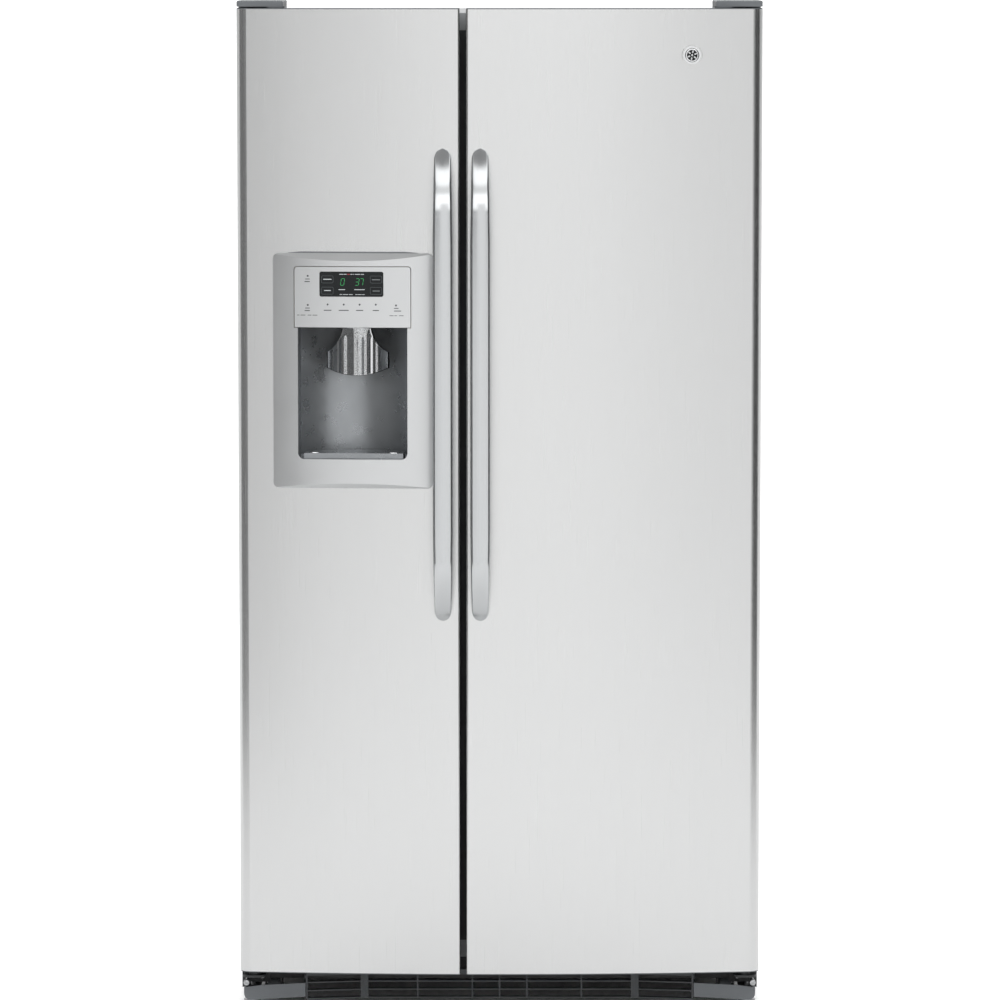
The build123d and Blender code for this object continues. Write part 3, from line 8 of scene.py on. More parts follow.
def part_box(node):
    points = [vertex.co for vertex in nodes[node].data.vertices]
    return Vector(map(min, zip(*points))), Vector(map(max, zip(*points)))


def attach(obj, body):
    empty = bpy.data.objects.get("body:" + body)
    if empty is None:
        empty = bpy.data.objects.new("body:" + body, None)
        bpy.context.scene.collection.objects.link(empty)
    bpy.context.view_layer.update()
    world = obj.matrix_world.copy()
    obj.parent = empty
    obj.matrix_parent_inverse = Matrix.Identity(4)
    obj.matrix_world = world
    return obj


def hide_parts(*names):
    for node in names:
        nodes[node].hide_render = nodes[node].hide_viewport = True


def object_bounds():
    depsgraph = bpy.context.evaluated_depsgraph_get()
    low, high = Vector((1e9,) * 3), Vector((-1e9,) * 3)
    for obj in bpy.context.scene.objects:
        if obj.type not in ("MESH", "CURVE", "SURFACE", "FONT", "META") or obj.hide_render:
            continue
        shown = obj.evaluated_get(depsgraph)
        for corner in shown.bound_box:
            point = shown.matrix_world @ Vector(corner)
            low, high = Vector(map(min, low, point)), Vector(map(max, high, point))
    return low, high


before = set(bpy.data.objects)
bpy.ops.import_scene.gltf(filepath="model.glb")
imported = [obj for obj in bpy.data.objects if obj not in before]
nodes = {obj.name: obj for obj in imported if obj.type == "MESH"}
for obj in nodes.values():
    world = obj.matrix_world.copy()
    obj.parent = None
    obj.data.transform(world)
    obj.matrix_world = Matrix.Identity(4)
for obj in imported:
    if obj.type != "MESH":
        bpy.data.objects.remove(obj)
cad_lo, cad_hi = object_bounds()

# plan radius of the bowed door fronts and the Y of its centre, in metres
BOW_RADIUS, BOW_CENTRE_Y = 3.6946, 3.3076


def front_y(x):
    """Y of the bowed door fronts at x."""
    return BOW_CENTRE_Y - math.sqrt(BOW_RADIUS**2 - x**2)


# ---------------------------------------------------------------- materials
class Look:
    """A Principled material whose nodes are added one call at a time."""

    def __init__(self, name, color, rough, metal=0.0, **sockets):
        self.material = bpy.data.materials.new(name)
        self.material.use_nodes = True
        self.nodes = self.material.node_tree.nodes
        self.links = self.material.node_tree.links
        self.shader = self.nodes["Principled BSDF"]
        self.color, self.rough = color, rough
        self.shader.inputs["Base Color"].default_value = (*color, 1)
        self.shader.inputs["Roughness"].default_value = rough
        self.shader.inputs["Metallic"].default_value = metal
        for socket, value in sockets.items():
            self.shader.inputs[socket.replace("_", " ")].default_value = value
        self.coordinates = self.nodes.new("ShaderNodeTexCoord").outputs["Object"]
        self.normal = None

    def noise(self, scale, detail=3.0, stretch=(1, 1, 1), roughness=0.55):
        mapping = self.nodes.new("ShaderNodeMapping")
        mapping.inputs["Scale"].default_value = stretch
        self.links.new(self.coordinates, mapping.inputs["Vector"])
        texture = self.nodes.new("ShaderNodeTexNoise")
        texture.inputs["Scale"].default_value = scale
        texture.inputs["Detail"].default_value = detail
        texture.inputs["Roughness"].default_value = roughness
        self.links.new(mapping.outputs["Vector"], texture.inputs["Vector"])
        return texture.outputs["Fac"]

    def cells(self, scale, feature="F1", output="Color"):
        texture = self.nodes.new("ShaderNodeTexVoronoi")
        texture.feature = feature
        texture.inputs["Scale"].default_value = scale
        self.links.new(self.coordinates, texture.inputs["Vector"])
        return texture.outputs[output]

    def ramp(self, source, low, high, low_at=0.3, high_at=0.7):
        """Maps a texture to a range of numbers."""
        node = self.nodes.new("ShaderNodeMapRange")
        node.inputs["From Min"].default_value = low_at
        node.inputs["From Max"].default_value = high_at
        node.inputs["To Min"].default_value = low
        node.inputs["To Max"].default_value = high
        self.links.new(source, node.inputs["Value"])
        return node.outputs["Result"]

    def vary_color(self, source, dark, light=1.0, low_at=0.3, high_at=0.7):
        """Scales the base colour between dark and light with a texture."""
        factor = self.ramp(source, dark, light, low_at, high_at)
        mix = self.nodes.new("ShaderNodeVectorMath")
        mix.operation = "SCALE"
        socket = self.shader.inputs["Base Color"]
        if socket.is_linked:
            self.links.new(socket.links[0].from_socket, mix.inputs[0])
        else:
            mix.inputs[0].default_value = self.color
        self.links.new(factor, mix.inputs["Scale"])
        self.links.new(mix.outputs["Vector"], socket)
        return self

    def vary_rough(self, source, spread, low_at=0.3, high_at=0.7):
        result = self.ramp(source, self.rough - spread, self.rough + spread, low_at, high_at)
        self.links.new(result, self.shader.inputs["Roughness"])
        return self

    def bump(self, source, strength, distance):
        node = self.nodes.new("ShaderNodeBump")
        node.inputs["Strength"].default_value = strength
        node.inputs["Distance"].default_value = distance
        self.links.new(source, node.inputs["Height"])
        if self.normal is not None:
            self.links.new(self.normal, node.inputs["Normal"])
        self.normal = node.outputs["Normal"]
        self.links.new(self.normal, self.shader.inputs["Normal"])
        return self


def brushed(name, color, rough, along, fine=900, contrast=0.06, aniso=0.5, metal=1.0):
    """Metal with brushing lines that run along one axis."""
    look = Look(name, color, rough, metal, Anisotropic=aniso)
    stretch = [1.0, 1.0, 1.0]
    stretch["XYZ".index(along)] = 0.006
    lines = look.noise(fine, 4, stretch, 0.7)
    wide = look.noise(fine / 12, 2, stretch)
    cloud = look.noise(1.6, 2)
    look.vary_color(lines, 1 - contrast, 1.0).vary_color(wide, 1 - contrast / 2, 1.0)
    look.vary_color(cloud, 1 - contrast / 2, 1.0)
    look.vary_rough(lines, rough * 0.12)
    look.bump(lines, 0.025, 0.0001)
    return look


def moulded(name, color, rough, grain=1400, depth=0.00006, contrast=0.08, **sockets):
    """Injection-moulded plastic with a fine grain and faint flow marks."""
    look = Look(name, color, rough, **sockets)
    look.vary_color(look.noise(9, 3), 1 - contrast, 1.0)
    look.vary_rough(look.noise(40, 3), min(0.08, rough * 0.3))
    return look.bump(look.noise(grain, 2), 0.25, depth)


LOOKS = {}


def keep(slot, look):
    LOOKS[slot] = look.material


keep("stainless", brushed("stainless", (0.75, 0.755, 0.755), 0.25, "Z", 900, 0.012, 0.35))
keep("handle_steel", brushed("handle_steel", (0.65, 0.665, 0.675), 0.18, "Z", 1500, 0.03))
keep("bright_chrome", brushed("bright_chrome", (0.86, 0.87, 0.88), 0.07, "Z", 700, 0.02, 0.0))
keep("zinc", brushed("zinc", (0.58, 0.59, 0.60), 0.36, "Y", 500, 0.15, 0.3))
keep("fin_aluminium", brushed("fin_aluminium", (0.78, 0.79, 0.80), 0.38, "X", 700, 0.12, 0.3))

paint = Look("case_paint", (0.30, 0.31, 0.32), 0.42, Coat_Weight=0.12)
paint.vary_color(paint.noise(5, 3), 0.93, 1.0)
paint.bump(paint.noise(420, 2), 0.35, 0.00025)
keep("case_paint", paint)

sheet = Look("galvanised", (0.62, 0.64, 0.66), 0.42, 0.85)
sheet.vary_color(sheet.cells(55), 0.78, 1.05, 0.1, 0.9)
sheet.vary_rough(sheet.cells(55), 0.09, 0.1, 0.9)
sheet.bump(sheet.noise(30, 3), 0.2, 0.0004)
keep("galvanised", sheet)

foam = Look("foam", (0.87, 0.76, 0.52), 0.85)
foam.vary_color(foam.noise(60, 5), 0.75, 1.0)
foam.bump(foam.cells(260, output="Distance"), 0.8, 0.0012)
keep("foam", foam)

liner = Look("liner_white", (0.84, 0.85, 0.84), 0.30, Coat_Weight=0.2)
liner.vary_color(liner.noise(4, 2), 0.96, 1.0)
liner.bump(liner.noise(75, 2), 0.14, 0.0006)
keep("liner_white", liner)

enamel = Look("black_steel", (0.032, 0.033, 0.036), 0.46)
enamel.vary_color(enamel.noise(25, 4), 0.7, 1.25)
enamel.vary_rough(enamel.noise(60, 3), 0.1)
enamel.bump(enamel.noise(500, 2), 0.3, 0.0002)
keep("black_steel", enamel)

wire = Look("wire", (0.84, 0.85, 0.85), 0.34, Coat_Weight=0.3)
wire.vary_color(wire.noise(30, 3), 0.93, 1.0)
wire.bump(wire.noise(220, 2), 0.2, 0.0002)
keep("wire", wire)

keep("grey_plastic", moulded("grey_plastic", (0.135, 0.145, 0.155), 0.44))
keep("black_plastic", moulded("black_plastic", (0.014, 0.015, 0.017), 0.5, 1100, 0.0001))
keep("black_gloss", moulded("black_gloss", (0.006, 0.008, 0.009), 0.12, 300, 0.00001, IOR=1.38))
keep("seal", moulded("seal", (0.05, 0.055, 0.058), 0.62, 600, 0.0002))
keep("dark_silver", moulded("dark_silver", (0.35, 0.365, 0.38), 0.32, 30, 0.0001, 0.03, Metallic=0.8))

silver = Look("silver_plastic", (0.68, 0.69, 0.695), 0.30, 0.9, Coat_Weight=0.1, Coat_Roughness=0.25)
silver.vary_color(silver.noise(6, 2), 0.97, 1.0)
silver.vary_rough(silver.noise(12, 2), 0.02)
silver.bump(silver.noise(9, 1), 0.02, 0.0002)
keep("silver_plastic", silver)

glass = Look("shelf_glass", (0.90, 0.97, 0.95), 0.03, Transmission_Weight=0.94, IOR=1.50)
glass.vary_rough(glass.noise(8, 3), 0.02)
glass.bump(glass.noise(3, 1), 0.03, 0.0004)
keep("shelf_glass", glass)

clear = Look("clear_plastic", (0.88, 0.92, 0.93), 0.09, Transmission_Weight=0.82, IOR=1.35)
clear.vary_rough(clear.noise(14, 3), 0.05)
clear.bump(clear.noise(22, 2), 0.10, 0.0006)
keep("clear_plastic", clear)

lens = Look("lens", (0.94, 0.94, 0.90), 0.38, Subsurface_Weight=0.15)
lens.vary_color(lens.noise(40, 2), 0.95, 1.0)
lens.bump(lens.cells(220, output="Distance"), 0.4, 0.0006)
keep("lens", lens)

ink = moulded("panel_ink", (0.07, 0.075, 0.08), 0.45, 900, 0.00002).material
pale_ink = moulded("display_ink", (0.50, 0.53, 0.54), 0.5, 900, 0.00002,
                   Emission_Color=(0.6, 0.66, 0.68, 1), Emission_Strength=0.10).material
red_ink = moulded("display_red_ink", (0.42, 0.05, 0.06), 0.5, 900, 0.00002).material
dim_ink = moulded("display_dim_ink", (0.22, 0.235, 0.24), 0.5, 900, 0.00002).material
outline_ink = moulded("display_outline", (0.075, 0.085, 0.09), 0.4, 900, 0.00002).material
lit = moulded("display_lit", (0.02, 0.22, 0.07), 0.35, 900, 0.00002,
              Emission_Color=(0.05, 0.75, 0.16, 1), Emission_Strength=0.14).material
charcoal = moulded("charcoal_plastic", (0.055, 0.06, 0.064), 0.5).material

for obj in nodes.values():
    for held in obj.material_slots:
        held.material = LOOKS[held.material.name.split(".")[0]]
nodes["base_grille"].material_slots[0].material = charcoal
nodes["door_hinges"].material_slots[0].material = LOOKS["black_steel"]


# ---------------------------------------------------------------- mesh code
def place(x, y, z, turn=0.0, tilt=0.0):
    """A matrix at a point in metres, turned about Z and then tilted about X."""
    return Matrix.Translation((x, y, z)) @ Matrix.Rotation(turn, 4, "Z") @ Matrix.Rotation(tilt, 4, "X")


def piece(name, bm, material, body, smooth=40):
    """Makes a mesh into a piece that rides on a body."""
    bmesh.ops.recalc_face_normals(bm, faces=bm.faces)
    mesh = bpy.data.meshes.new(name)
    bm.to_mesh(mesh)
    bm.free()
    mesh.materials.append(material)
    mesh.shade_smooth()
    mesh.set_sharp_from_angle(angle=math.radians(smooth))
    obj = bpy.data.objects.new(name, mesh)
    bpy.context.scene.collection.objects.link(obj)
    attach(obj, body)
    return obj


def lathe(bm, at, profile, around=20):
    """Turns (radius, height) points about the local Z of a matrix; ends at radius 0 are closed."""
    rings = []
    for radius, height in profile:
        if radius < 1e-7:
            rings.append([bm.verts.new(at @ Vector((0, 0, height)))])
        else:
            angles = [2 * math.pi * i / around for i in range(around)]
            rings.append([bm.verts.new(at @ Vector((radius * math.cos(a), radius * math.sin(a), height)))
                          for a in angles])
    for low, high in zip(rings, rings[1:]):
        for i in range(around):
            j = (i + 1) % around
            corners = [low[i % len(low)], low[j % len(low)], high[j % len(high)], high[i % len(high)]]
            face = list(dict.fromkeys(corners))
            if len(face) > 2:
                bm.faces.new(face)


def rounded_outline(width, height, radius, steps=4):
    """The points of a rectangle with rounded corners, about the origin."""
    points = []
    for cx, cy, start in ((1, 1, 0), (-1, 1, 90), (-1, -1, 180), (1, -1, 270)):
        for i in range(steps + 1):
            a = math.radians(start + 90 * i / steps)
            points.append((cx * (width / 2 - radius) + radius * math.cos(a),
                           cy * (height / 2 - radius) + radius * math.sin(a)))
    return points


def raise_outline(bm, at, points, depth, crown=0.0):
    """A flat shape in the local XY plane, raised along local Z with a small crown at its edge."""
    low = [bm.verts.new(at @ Vector((x, y, 0))) for x, y in points]
    high = [bm.verts.new(at @ Vector((x * (1 - crown), y * (1 - crown), depth))) for x, y in points]
    bm.faces.new(low)
    bm.faces.new(high)
    for i in range(len(points)):
        j = (i + 1) % len(points)
        bm.faces.new((low[i], low[j], high[j], high[i]))


def ring_outline(bm, at, width, height, radius, line, depth):
    """A thin raised frame: the outline of a key."""
    outer = rounded_outline(width, height, radius)
    inner = rounded_outline(width - 2 * line, height - 2 * line, max(radius - line, line / 2))
    loops = []
    for points, z in ((outer, 0), (outer, depth), (inner, depth), (inner, 0)):
        loops.append([bm.verts.new(at @ Vector((x, y, z))) for x, y in points])
    for a, b in zip(loops, loops[1:] + loops[:1]):
        for i in range(len(outer)):
            j = (i + 1) % len(outer)
            bm.faces.new((a[i], a[j], b[j], b[i]))


def tube(bm, points, radius, around=10):
    """A round tube through points, closed at both ends."""
    points = [Vector(p) for p in points]
    rings = []
    for i, p in enumerate(points):
        ahead = points[min(i + 1, len(points) - 1)] - points[max(i - 1, 0)]
        turn = ahead.to_track_quat("Z", "Y").to_matrix().to_4x4()
        at = Matrix.Translation(p) @ turn
        rings.append([bm.verts.new(at @ Vector((radius * math.cos(a), radius * math.sin(a), 0)))
                      for a in (2 * math.pi * k / around for k in range(around))])
    for low, high in zip(rings, rings[1:]):
        for i in range(around):
            j = (i + 1) % around
            bm.faces.new((low[i], low[j], high[j], high[i]))
    bm.faces.new(rings[0])
    bm.faces.new(rings[-1])


def hex_screw(bm, at, radius):
    """A washer-faced hexagon head with a dished top."""
    lathe(bm, at, [(radius * 1.45, 0), (radius * 1.45, radius * 0.14), (radius * 1.2, radius * 0.3)], 20)
    lathe(bm, at, [(radius, radius * 0.2), (radius, radius * 0.95), (radius * 0.85, radius * 1.1),
                   (radius * 0.5, radius * 1.0), (0, radius * 0.9)], 6)


def cross_screw(bm, at, radius):
    """A pan head with a cross recess."""
    lathe(bm, at, [(radius, 0), (radius, radius * 0.25), (radius * 0.8, radius * 0.5),
                   (radius * 0.35, radius * 0.6), (radius * 0.28, radius * 0.3), (0, radius * 0.2)], 16)


# ---------------------------------------------------------------- dispenser
TO_FRONT = math.radians(90)
bezel_lo, bezel_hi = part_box("dispenser_bezel")
DISP_X = (bezel_lo.x + bezel_hi.x) / 2
DISPENSER = place(DISP_X, front_y(DISP_X), 0, math.asin(DISP_X / BOW_RADIUS))
WINDOW_Z, PANEL_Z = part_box("display_window")[0].z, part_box("control_panel")[0].z
WINDOW_FACE = -0.0110  # depth of the display's face in the dispenser's own frame
INK_FACE, INK_DEPTH = WINDOW_FACE - 0.00005, 0.0002


def panel_face(u):
    """Depth of the control panel's bowed face at u, in the dispenser's own frame."""
    return -0.0124 + 0.0038 * (u / 0.1015) ** 2


def on_front(u, v, z):
    """A matrix on the dispenser whose local Z points out of it."""
    return DISPENSER @ place(u, v, z, 0, TO_FRONT)


def bars(name, rows, material, face, depth=0.00018):
    """Small rounded bars that stand for printing: each row is (u, z, width, height)."""
    bm = bmesh.new()
    for u, z, width, height in rows:
        raise_outline(bm, on_front(u, face(u), z), rounded_outline(width, height, height * 0.4, 2), depth)
    return piece(name, bm, material, "freezer_door")


def broken_bar(u0, u1, z, height, parts):
    """One line of printing as several bars of uneven length."""
    total = sum(parts)
    gap = (u1 - u0) * 0.05
    rows, u = [], u0
    for part in parts:
        width = (u1 - u0 - gap * (len(parts) - 1)) * part / total
        rows.append((u + width / 2, z, width, height))
        u += width + gap
    return rows


def window_face(_):
    """Depth of the display's flat face, whatever u is."""
    return INK_FACE


SEGMENTS = {"0": "abcdef", "3": "abcdg", "7": "abc"}
DIGIT_W, DIGIT_H, STROKE, SLANT = 0.0058, 0.0116, 0.00105, 0.16
LINES = {
    "a": ((0, 1), (1, 1)), "b": ((1, 1), (1, 0.5)), "c": ((1, 0.5), (1, 0)), "d": ((0, 0), (1, 0)),
    "e": ((0, 0), (0, 0.5)), "f": ((0, 0.5), (0, 1)), "g": ((0, 0.5), (1, 0.5)),
}


def digit(bm, character, u, z):
    """A slanted seven-segment digit whose lower left corner is at (u, z)."""
    for name in SEGMENTS[character]:
        (x0, y0), (x1, y1) = LINES[name]
        start, end = Vector((x0 * DIGIT_W, y0 * DIGIT_H)), Vector((x1 * DIGIT_W, y1 * DIGIT_H))
        along = (end - start).normalized()
        across = Vector((-along.y, along.x)) * STROKE / 2
        start += along * STROKE * 0.35
        end -= along * STROKE * 0.35
        tip = along * STROKE / 2
        outline = [start, start + tip + across, end - tip + across, end, end - tip - across,
                   start + tip - across]
        points = [(p.x + SLANT * p.y, p.y) for p in outline]
        raise_outline(bm, on_front(u, INK_FACE, z), points, INK_DEPTH)


bm = bmesh.new()
for character, u in (("0", -0.0206), ("3", 0.0048), ("7", 0.0120)):
    digit(bm, character, u, WINDOW_Z + 0.0196)
piece("display_digits", bm, lit, "freezer_door")

rows = broken_bar(-0.0222, -0.0095, WINDOW_Z + 0.0386, 0.0011, (3, 2))
rows += broken_bar(-0.0030, 0.0205, WINDOW_Z + 0.0386, 0.0011, (2, 1, 5, 3))
rows += [(-0.0180, WINDOW_Z + 0.0122, 0.0115, 0.0012), (0.0125, WINDOW_Z + 0.0122, 0.0185, 0.0012)]
rows += broken_bar(-0.0220, 0.0008, WINDOW_Z + 0.0037, 0.0009, (2, 4, 3))
rows += broken_bar(0.0050, 0.0215, WINDOW_Z + 0.0037, 0.0009, (2, 3, 2))
rows += [(-0.0430, WINDOW_Z + 0.0299, 0.0145, 0.0014), (-0.0430, WINDOW_Z + 0.0105, 0.0118, 0.0014)]
bars("display_labels", rows, pale_ink, window_face)
rows = [(-0.0063, WINDOW_Z + 0.0386, 0.0048, 0.0012)]
bars("display_warning_bar", rows, red_ink, window_face)
rows = [(0.0412, WINDOW_Z + 0.0294, 0.0142, 0.0012), (0.0415, WINDOW_Z + 0.0100, 0.0124, 0.0012)]
bars("display_dim_labels", rows, dim_ink, window_face)

bm = bmesh.new()
for u in (-0.0430, 0.0412):
    for z in (WINDOW_Z + 0.0297, WINDOW_Z + 0.0102):
        ring_outline(bm, on_front(u, INK_FACE, z), 0.0205, 0.0128, 0.0022, 0.00055, INK_DEPTH)
piece("display_key_outlines", bm, outline_ink, "freezer_door")

KEYS = ((-0.0772, PANEL_Z + 0.0888), (-0.0772, PANEL_Z + 0.0386), (-0.0427, PANEL_Z + 0.0396),
        (-0.0147, PANEL_Z + 0.0396), (0.0128, PANEL_Z + 0.0396), (0.0408, PANEL_Z + 0.0396),
        (0.0756, PANEL_Z + 0.0383))
bm = bmesh.new()
for u, z in KEYS:
    lathe(bm, on_front(u, panel_face(u), z),
          [(0.0017, 0), (0.0016, 0.0003), (0.0009, 0.00055), (0, 0.0006)], 14)
piece("panel_lamps", bm, ink, "freezer_door")

rows = []
for u, z in (KEYS[0], KEYS[1]):
    rows += [(u, z - 0.0054, 0.0088, 0.0013), (u, z - 0.0098, 0.0112, 0.0015)]
rows += [(KEYS[6][0], KEYS[6][1] - 0.0050, 0.0090, 0.0013), (KEYS[6][0], KEYS[6][1] - 0.0096, 0.0180, 0.0014)]
for (u, z), width in zip(KEYS[2:6], (0.0135, 0.0175, 0.0125, 0.0110)):
    rows.append((u, z - 0.0100, width, 0.0015))
rows += broken_bar(-0.0960, -0.0605, PANEL_Z + 0.0210, 0.0010, (2, 5, 3, 4))
rows += broken_bar(0.0642, 0.0887, PANEL_Z + 0.0206, 0.0010, (3, 2, 4))
bars("panel_labels", rows, ink, panel_face)

# a grey bead along the top of the raised frame: partly sealant, partly painted shade for the dark line at the
# frame's top edge
bm = bmesh.new()
BEAD_HALF, BEAD_R = 0.112, 0.0019
bead = []
for i in range(41):
    u = BEAD_HALF * (i / 20 - 1)
    x = DISP_X + u
    bead.append((x, front_y(x) - 0.0012, bezel_hi.z + 0.0004 - 0.0018 * max(0, abs(u) - 0.09) / 0.022))
tube(bm, bead, BEAD_R)
piece("bezel_seal_and_shade", bm, LOOKS["grey_plastic"], "freezer_door")


# ---------------------------------------------------------------- cradle and recess
def on_cradle(u, v, z):
    """A point across, into and up the dispenser."""
    return DISPENSER @ Vector((u, v, z))


cradle_lo, cradle_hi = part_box("dispenser_cradle")
CRADLE_U, CRADLE_HALF, CRADLE_FRONT = 0.004, 0.052, 0.020
NECK_HALF, SHOULDER, SHOULDER_RISE, FLUTE_PITCH = 0.024, 0.0385, 0.043, 0.0212
CRADLE_LOW = cradle_lo.z


def cradle_shape(t):
    """Half width at a height above the cradle's lowest point, in metres: a bell under a narrow neck."""
    if t > SHOULDER:
        k = (t - SHOULDER) / SHOULDER_RISE
        return CRADLE_HALF - (CRADLE_HALF - NECK_HALF) * math.sin(min(k, 1) * math.pi / 2) ** 0.8
    return CRADLE_HALF


def cradle_sheet(name, material, grow, forward, flutes, thick):
    """The bell-shaped shield, curved across, with shallow upright flutes."""
    bm = bmesh.new()
    across, up, top = 64, 26, 0.0815
    grid = []
    for j in range(up + 1):
        row = []
        for i in range(across + 1):
            s = i / across * 2 - 1
            t0 = 0.0115 * s * s
            t = t0 + (top - t0) * j / up
            half = cradle_shape(t) + grow
            u = s * half
            depth = CRADLE_FRONT + 0.030 * (u / 0.056) ** 2 - forward
            wave = 0.5 - 0.5 * math.cos(2 * math.pi * (u + 0.004) / FLUTE_PITCH)
            ripple = flutes * wave * min(1, (top - t) / 0.02)
            row.append(bm.verts.new(on_cradle(CRADLE_U + u, depth + ripple, CRADLE_LOW + t - grow * 0.4)))
        grid.append(row)
    for low, high in zip(grid, grid[1:]):
        for i in range(across):
            bm.faces.new((low[i], low[i + 1], high[i + 1], high[i]))
    bmesh.ops.solidify(bm, geom=bm.faces, thickness=thick)
    return piece(name, bm, material, "dispenser_cradle", smooth=50)


cradle_sheet("cradle_face", LOOKS["bright_chrome"], -0.0006, 0.0034, 0.0030, 0.0008)
cradle_sheet("cradle_backing", LOOKS["black_gloss"], 0.0026, -0.0044, 0.0, 0.0012)

bm = bmesh.new()
for u in (-0.02, 0.0):
    at = DISPENSER @ place(u, 0.022, cradle_hi.z + 0.062, 0, math.radians(180))
    lathe(bm, at, [(0.0, 0.0), (0.0075, 0.0), (0.0075, 0.008), (0.0052, 0.011), (0.0052, 0.021),
                   (0.0040, 0.0215), (0.0036, 0.016), (0, 0.016)], 18)
piece("water_nozzles", bm, LOOKS["black_plastic"], "freezer_door")

bm = bmesh.new()
tray_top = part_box("drip_tray")[1].z
for side in (-1, 1):
    raise_outline(bm, DISPENSER @ place(side * 0.0685, 0.013, tray_top - 0.0002),
                  rounded_outline(0.016, 0.0052, 0.0025, 3), 0.0011, 0.06)
piece("tray_thumb_pads", bm, LOOKS["bright_chrome"], "drip_tray")


# ---------------------------------------------------------------- handles
def handle_piece(name, node, body):
    """A bar whose front is crowned across, with rounded edges and long bends at both ends."""
    lo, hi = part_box(node)
    x_mid, mid, half = (lo.x + hi.x) / 2, (lo.z + hi.z) / 2, (hi.z - lo.z) / 2
    y_door = front_y(x_mid) - 0.0003
    belly, bend, thick = 0.006, 0.115, 0.014
    width, tip, taper, nose = (hi.x - lo.x) / 2, 0.0145, 0.16, 0.012
    y_end = lo.y + belly
    reach = y_door - y_end
    radius = (bend**2 + reach**2) / (2 * reach)
    straight = half - bend
    bm, rings = bmesh.new(), []
    stations = [-half + half * 2 * i / 150 for i in range(151)]
    stations += [s * (half - d) for s in (-1, 1) for d in (0.0004, 0.0012, 0.0025, 0.004)]
    for z in sorted(stations):
        past = abs(z) - straight
        if past > 0:
            y = y_end + radius - math.sqrt(radius**2 - past**2)
            lean = math.asin(past / radius) * (1 if z > 0 else -1)
        else:
            y, lean = y_end - belly * (1 - (z / straight) ** 2), 0.0
        from_tip = half - abs(z)
        w = tip + (width - tip) * min(1, from_tip / taper)
        if from_tip < nose:
            w -= nose - math.sqrt(max(nose**2 - (nose - from_tip) ** 2, 0))
        w = max(w, 0.0022)
        deep = min(thick, max(0.0015, (y_door + 0.004 - y) / max(math.cos(lean), 0.3)))
        section = []
        for k in range(25):
            s = k / 24 * 2 - 1
            section.append((s * w, 0.0017 * s * s + 0.0055 * max(0, abs(s) - 0.86) ** 2 / 0.0196))
        section += [(w * 0.97, deep * 0.75), (w * 0.82, deep), (-w * 0.82, deep), (-w * 0.97, deep * 0.75)]
        ring = []
        for a, d in section:
            ring.append(bm.verts.new((x_mid + a, y + d * math.cos(lean), mid + z - d * math.sin(lean))))
        rings.append(ring)
    for low, high in zip(rings, rings[1:]):
        for i in range(len(low)):
            j = (i + 1) % len(low)
            bm.faces.new((low[i], low[j], high[j], high[i]))
    bm.faces.new(rings[0])
    bm.faces.new(rings[-1])
    obj = piece(name, bm, LOOKS["handle_steel"], body, smooth=60)
    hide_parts(node)
    return obj


handle_piece("freezer_handle_bar", "freezer_handle", "freezer_door")
handle_piece("fresh_handle_bar", "fresh_handle", "fresh_food_door")

# ---------------------------------------------------------------- badge
badge_lo, badge_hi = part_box("badge")
badge_x, badge_z = (badge_lo.x + badge_hi.x) / 2, (badge_lo.z + badge_hi.z) / 2
BADGE = place(badge_x, front_y(badge_x), badge_z, math.asin(badge_x / BOW_RADIUS), TO_FRONT)
bm = bmesh.new()
lathe(bm, BADGE @ place(0, 0, 0.0012),
      [(0.0121, 0), (0.0121, 0.0006), (0.0112, 0.0013), (0.008, 0.0018), (0, 0.0021)], 48)
piece("badge_dome", bm, LOOKS["black_gloss"], "fresh_food_door")
bm = bmesh.new()
for i in range(6):
    turn = Matrix.Rotation(math.radians(60 * i + 20), 4, "Z")
    leaf = BADGE @ place(0, 0, 0.0025) @ turn @ place(0.0058, 0, 0.0003)
    raise_outline(bm, leaf, [(0.0031 * math.cos(a), 0.0012 * math.sin(a)) for a in
                             (2 * math.pi * k / 12 for k in range(12))], 0.00035)
lathe(bm, BADGE @ place(0, 0, 0.0029), [(0.0019, 0), (0.0019, 0.0003), (0.0011, 0.0007), (0, 0.0007)], 18)
piece("badge_rosette", bm, LOOKS["silver_plastic"], "fresh_food_door")
bm = bmesh.new()
lathe(bm, BADGE @ place(0, 0, 0.0020), [(0.0178, 0), (0.0178, 0.0004), (0.0174, 0.0008), (0.0154, 0.0008),
                                        (0.0151, 0)], 60)
piece("badge_rim", bm, LOOKS["stainless"], "fresh_food_door")

# ---------------------------------------------------------------- slot between the doors
case_lo, case_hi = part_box("cabinet_shell")
left_skin_hi, right_skin_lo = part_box("freezer_door_skin")[1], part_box("fresh_door_skin")[0]
slot_x = (left_skin_hi.x + right_skin_lo.x) / 2
# a dark seal strip on the case flange behind the slot: partly a real mullion seal, partly painted shade that
# darkens the slot between the doors
bm = bmesh.new()
profile = [(-0.013, 0), (-0.013, -0.0012), (-0.006, -0.0026), (0, -0.0030),
           (0.006, -0.0026), (0.013, -0.0012), (0.013, 0)]
ends = []
for z in (0.115, case_hi.z - 0.03):
    ends.append([bm.verts.new((slot_x + u, case_lo.y - 0.0002 + v, z)) for u, v in profile])
for i in range(len(profile)):
    j = (i + 1) % len(profile)
    bm.faces.new((ends[0][i], ends[0][j], ends[1][j], ends[1][i]))
bm.faces.new(ends[0])
bm.faces.new(ends[1])
piece("mullion_shade_strip", bm, LOOKS["seal"], "cabinet")

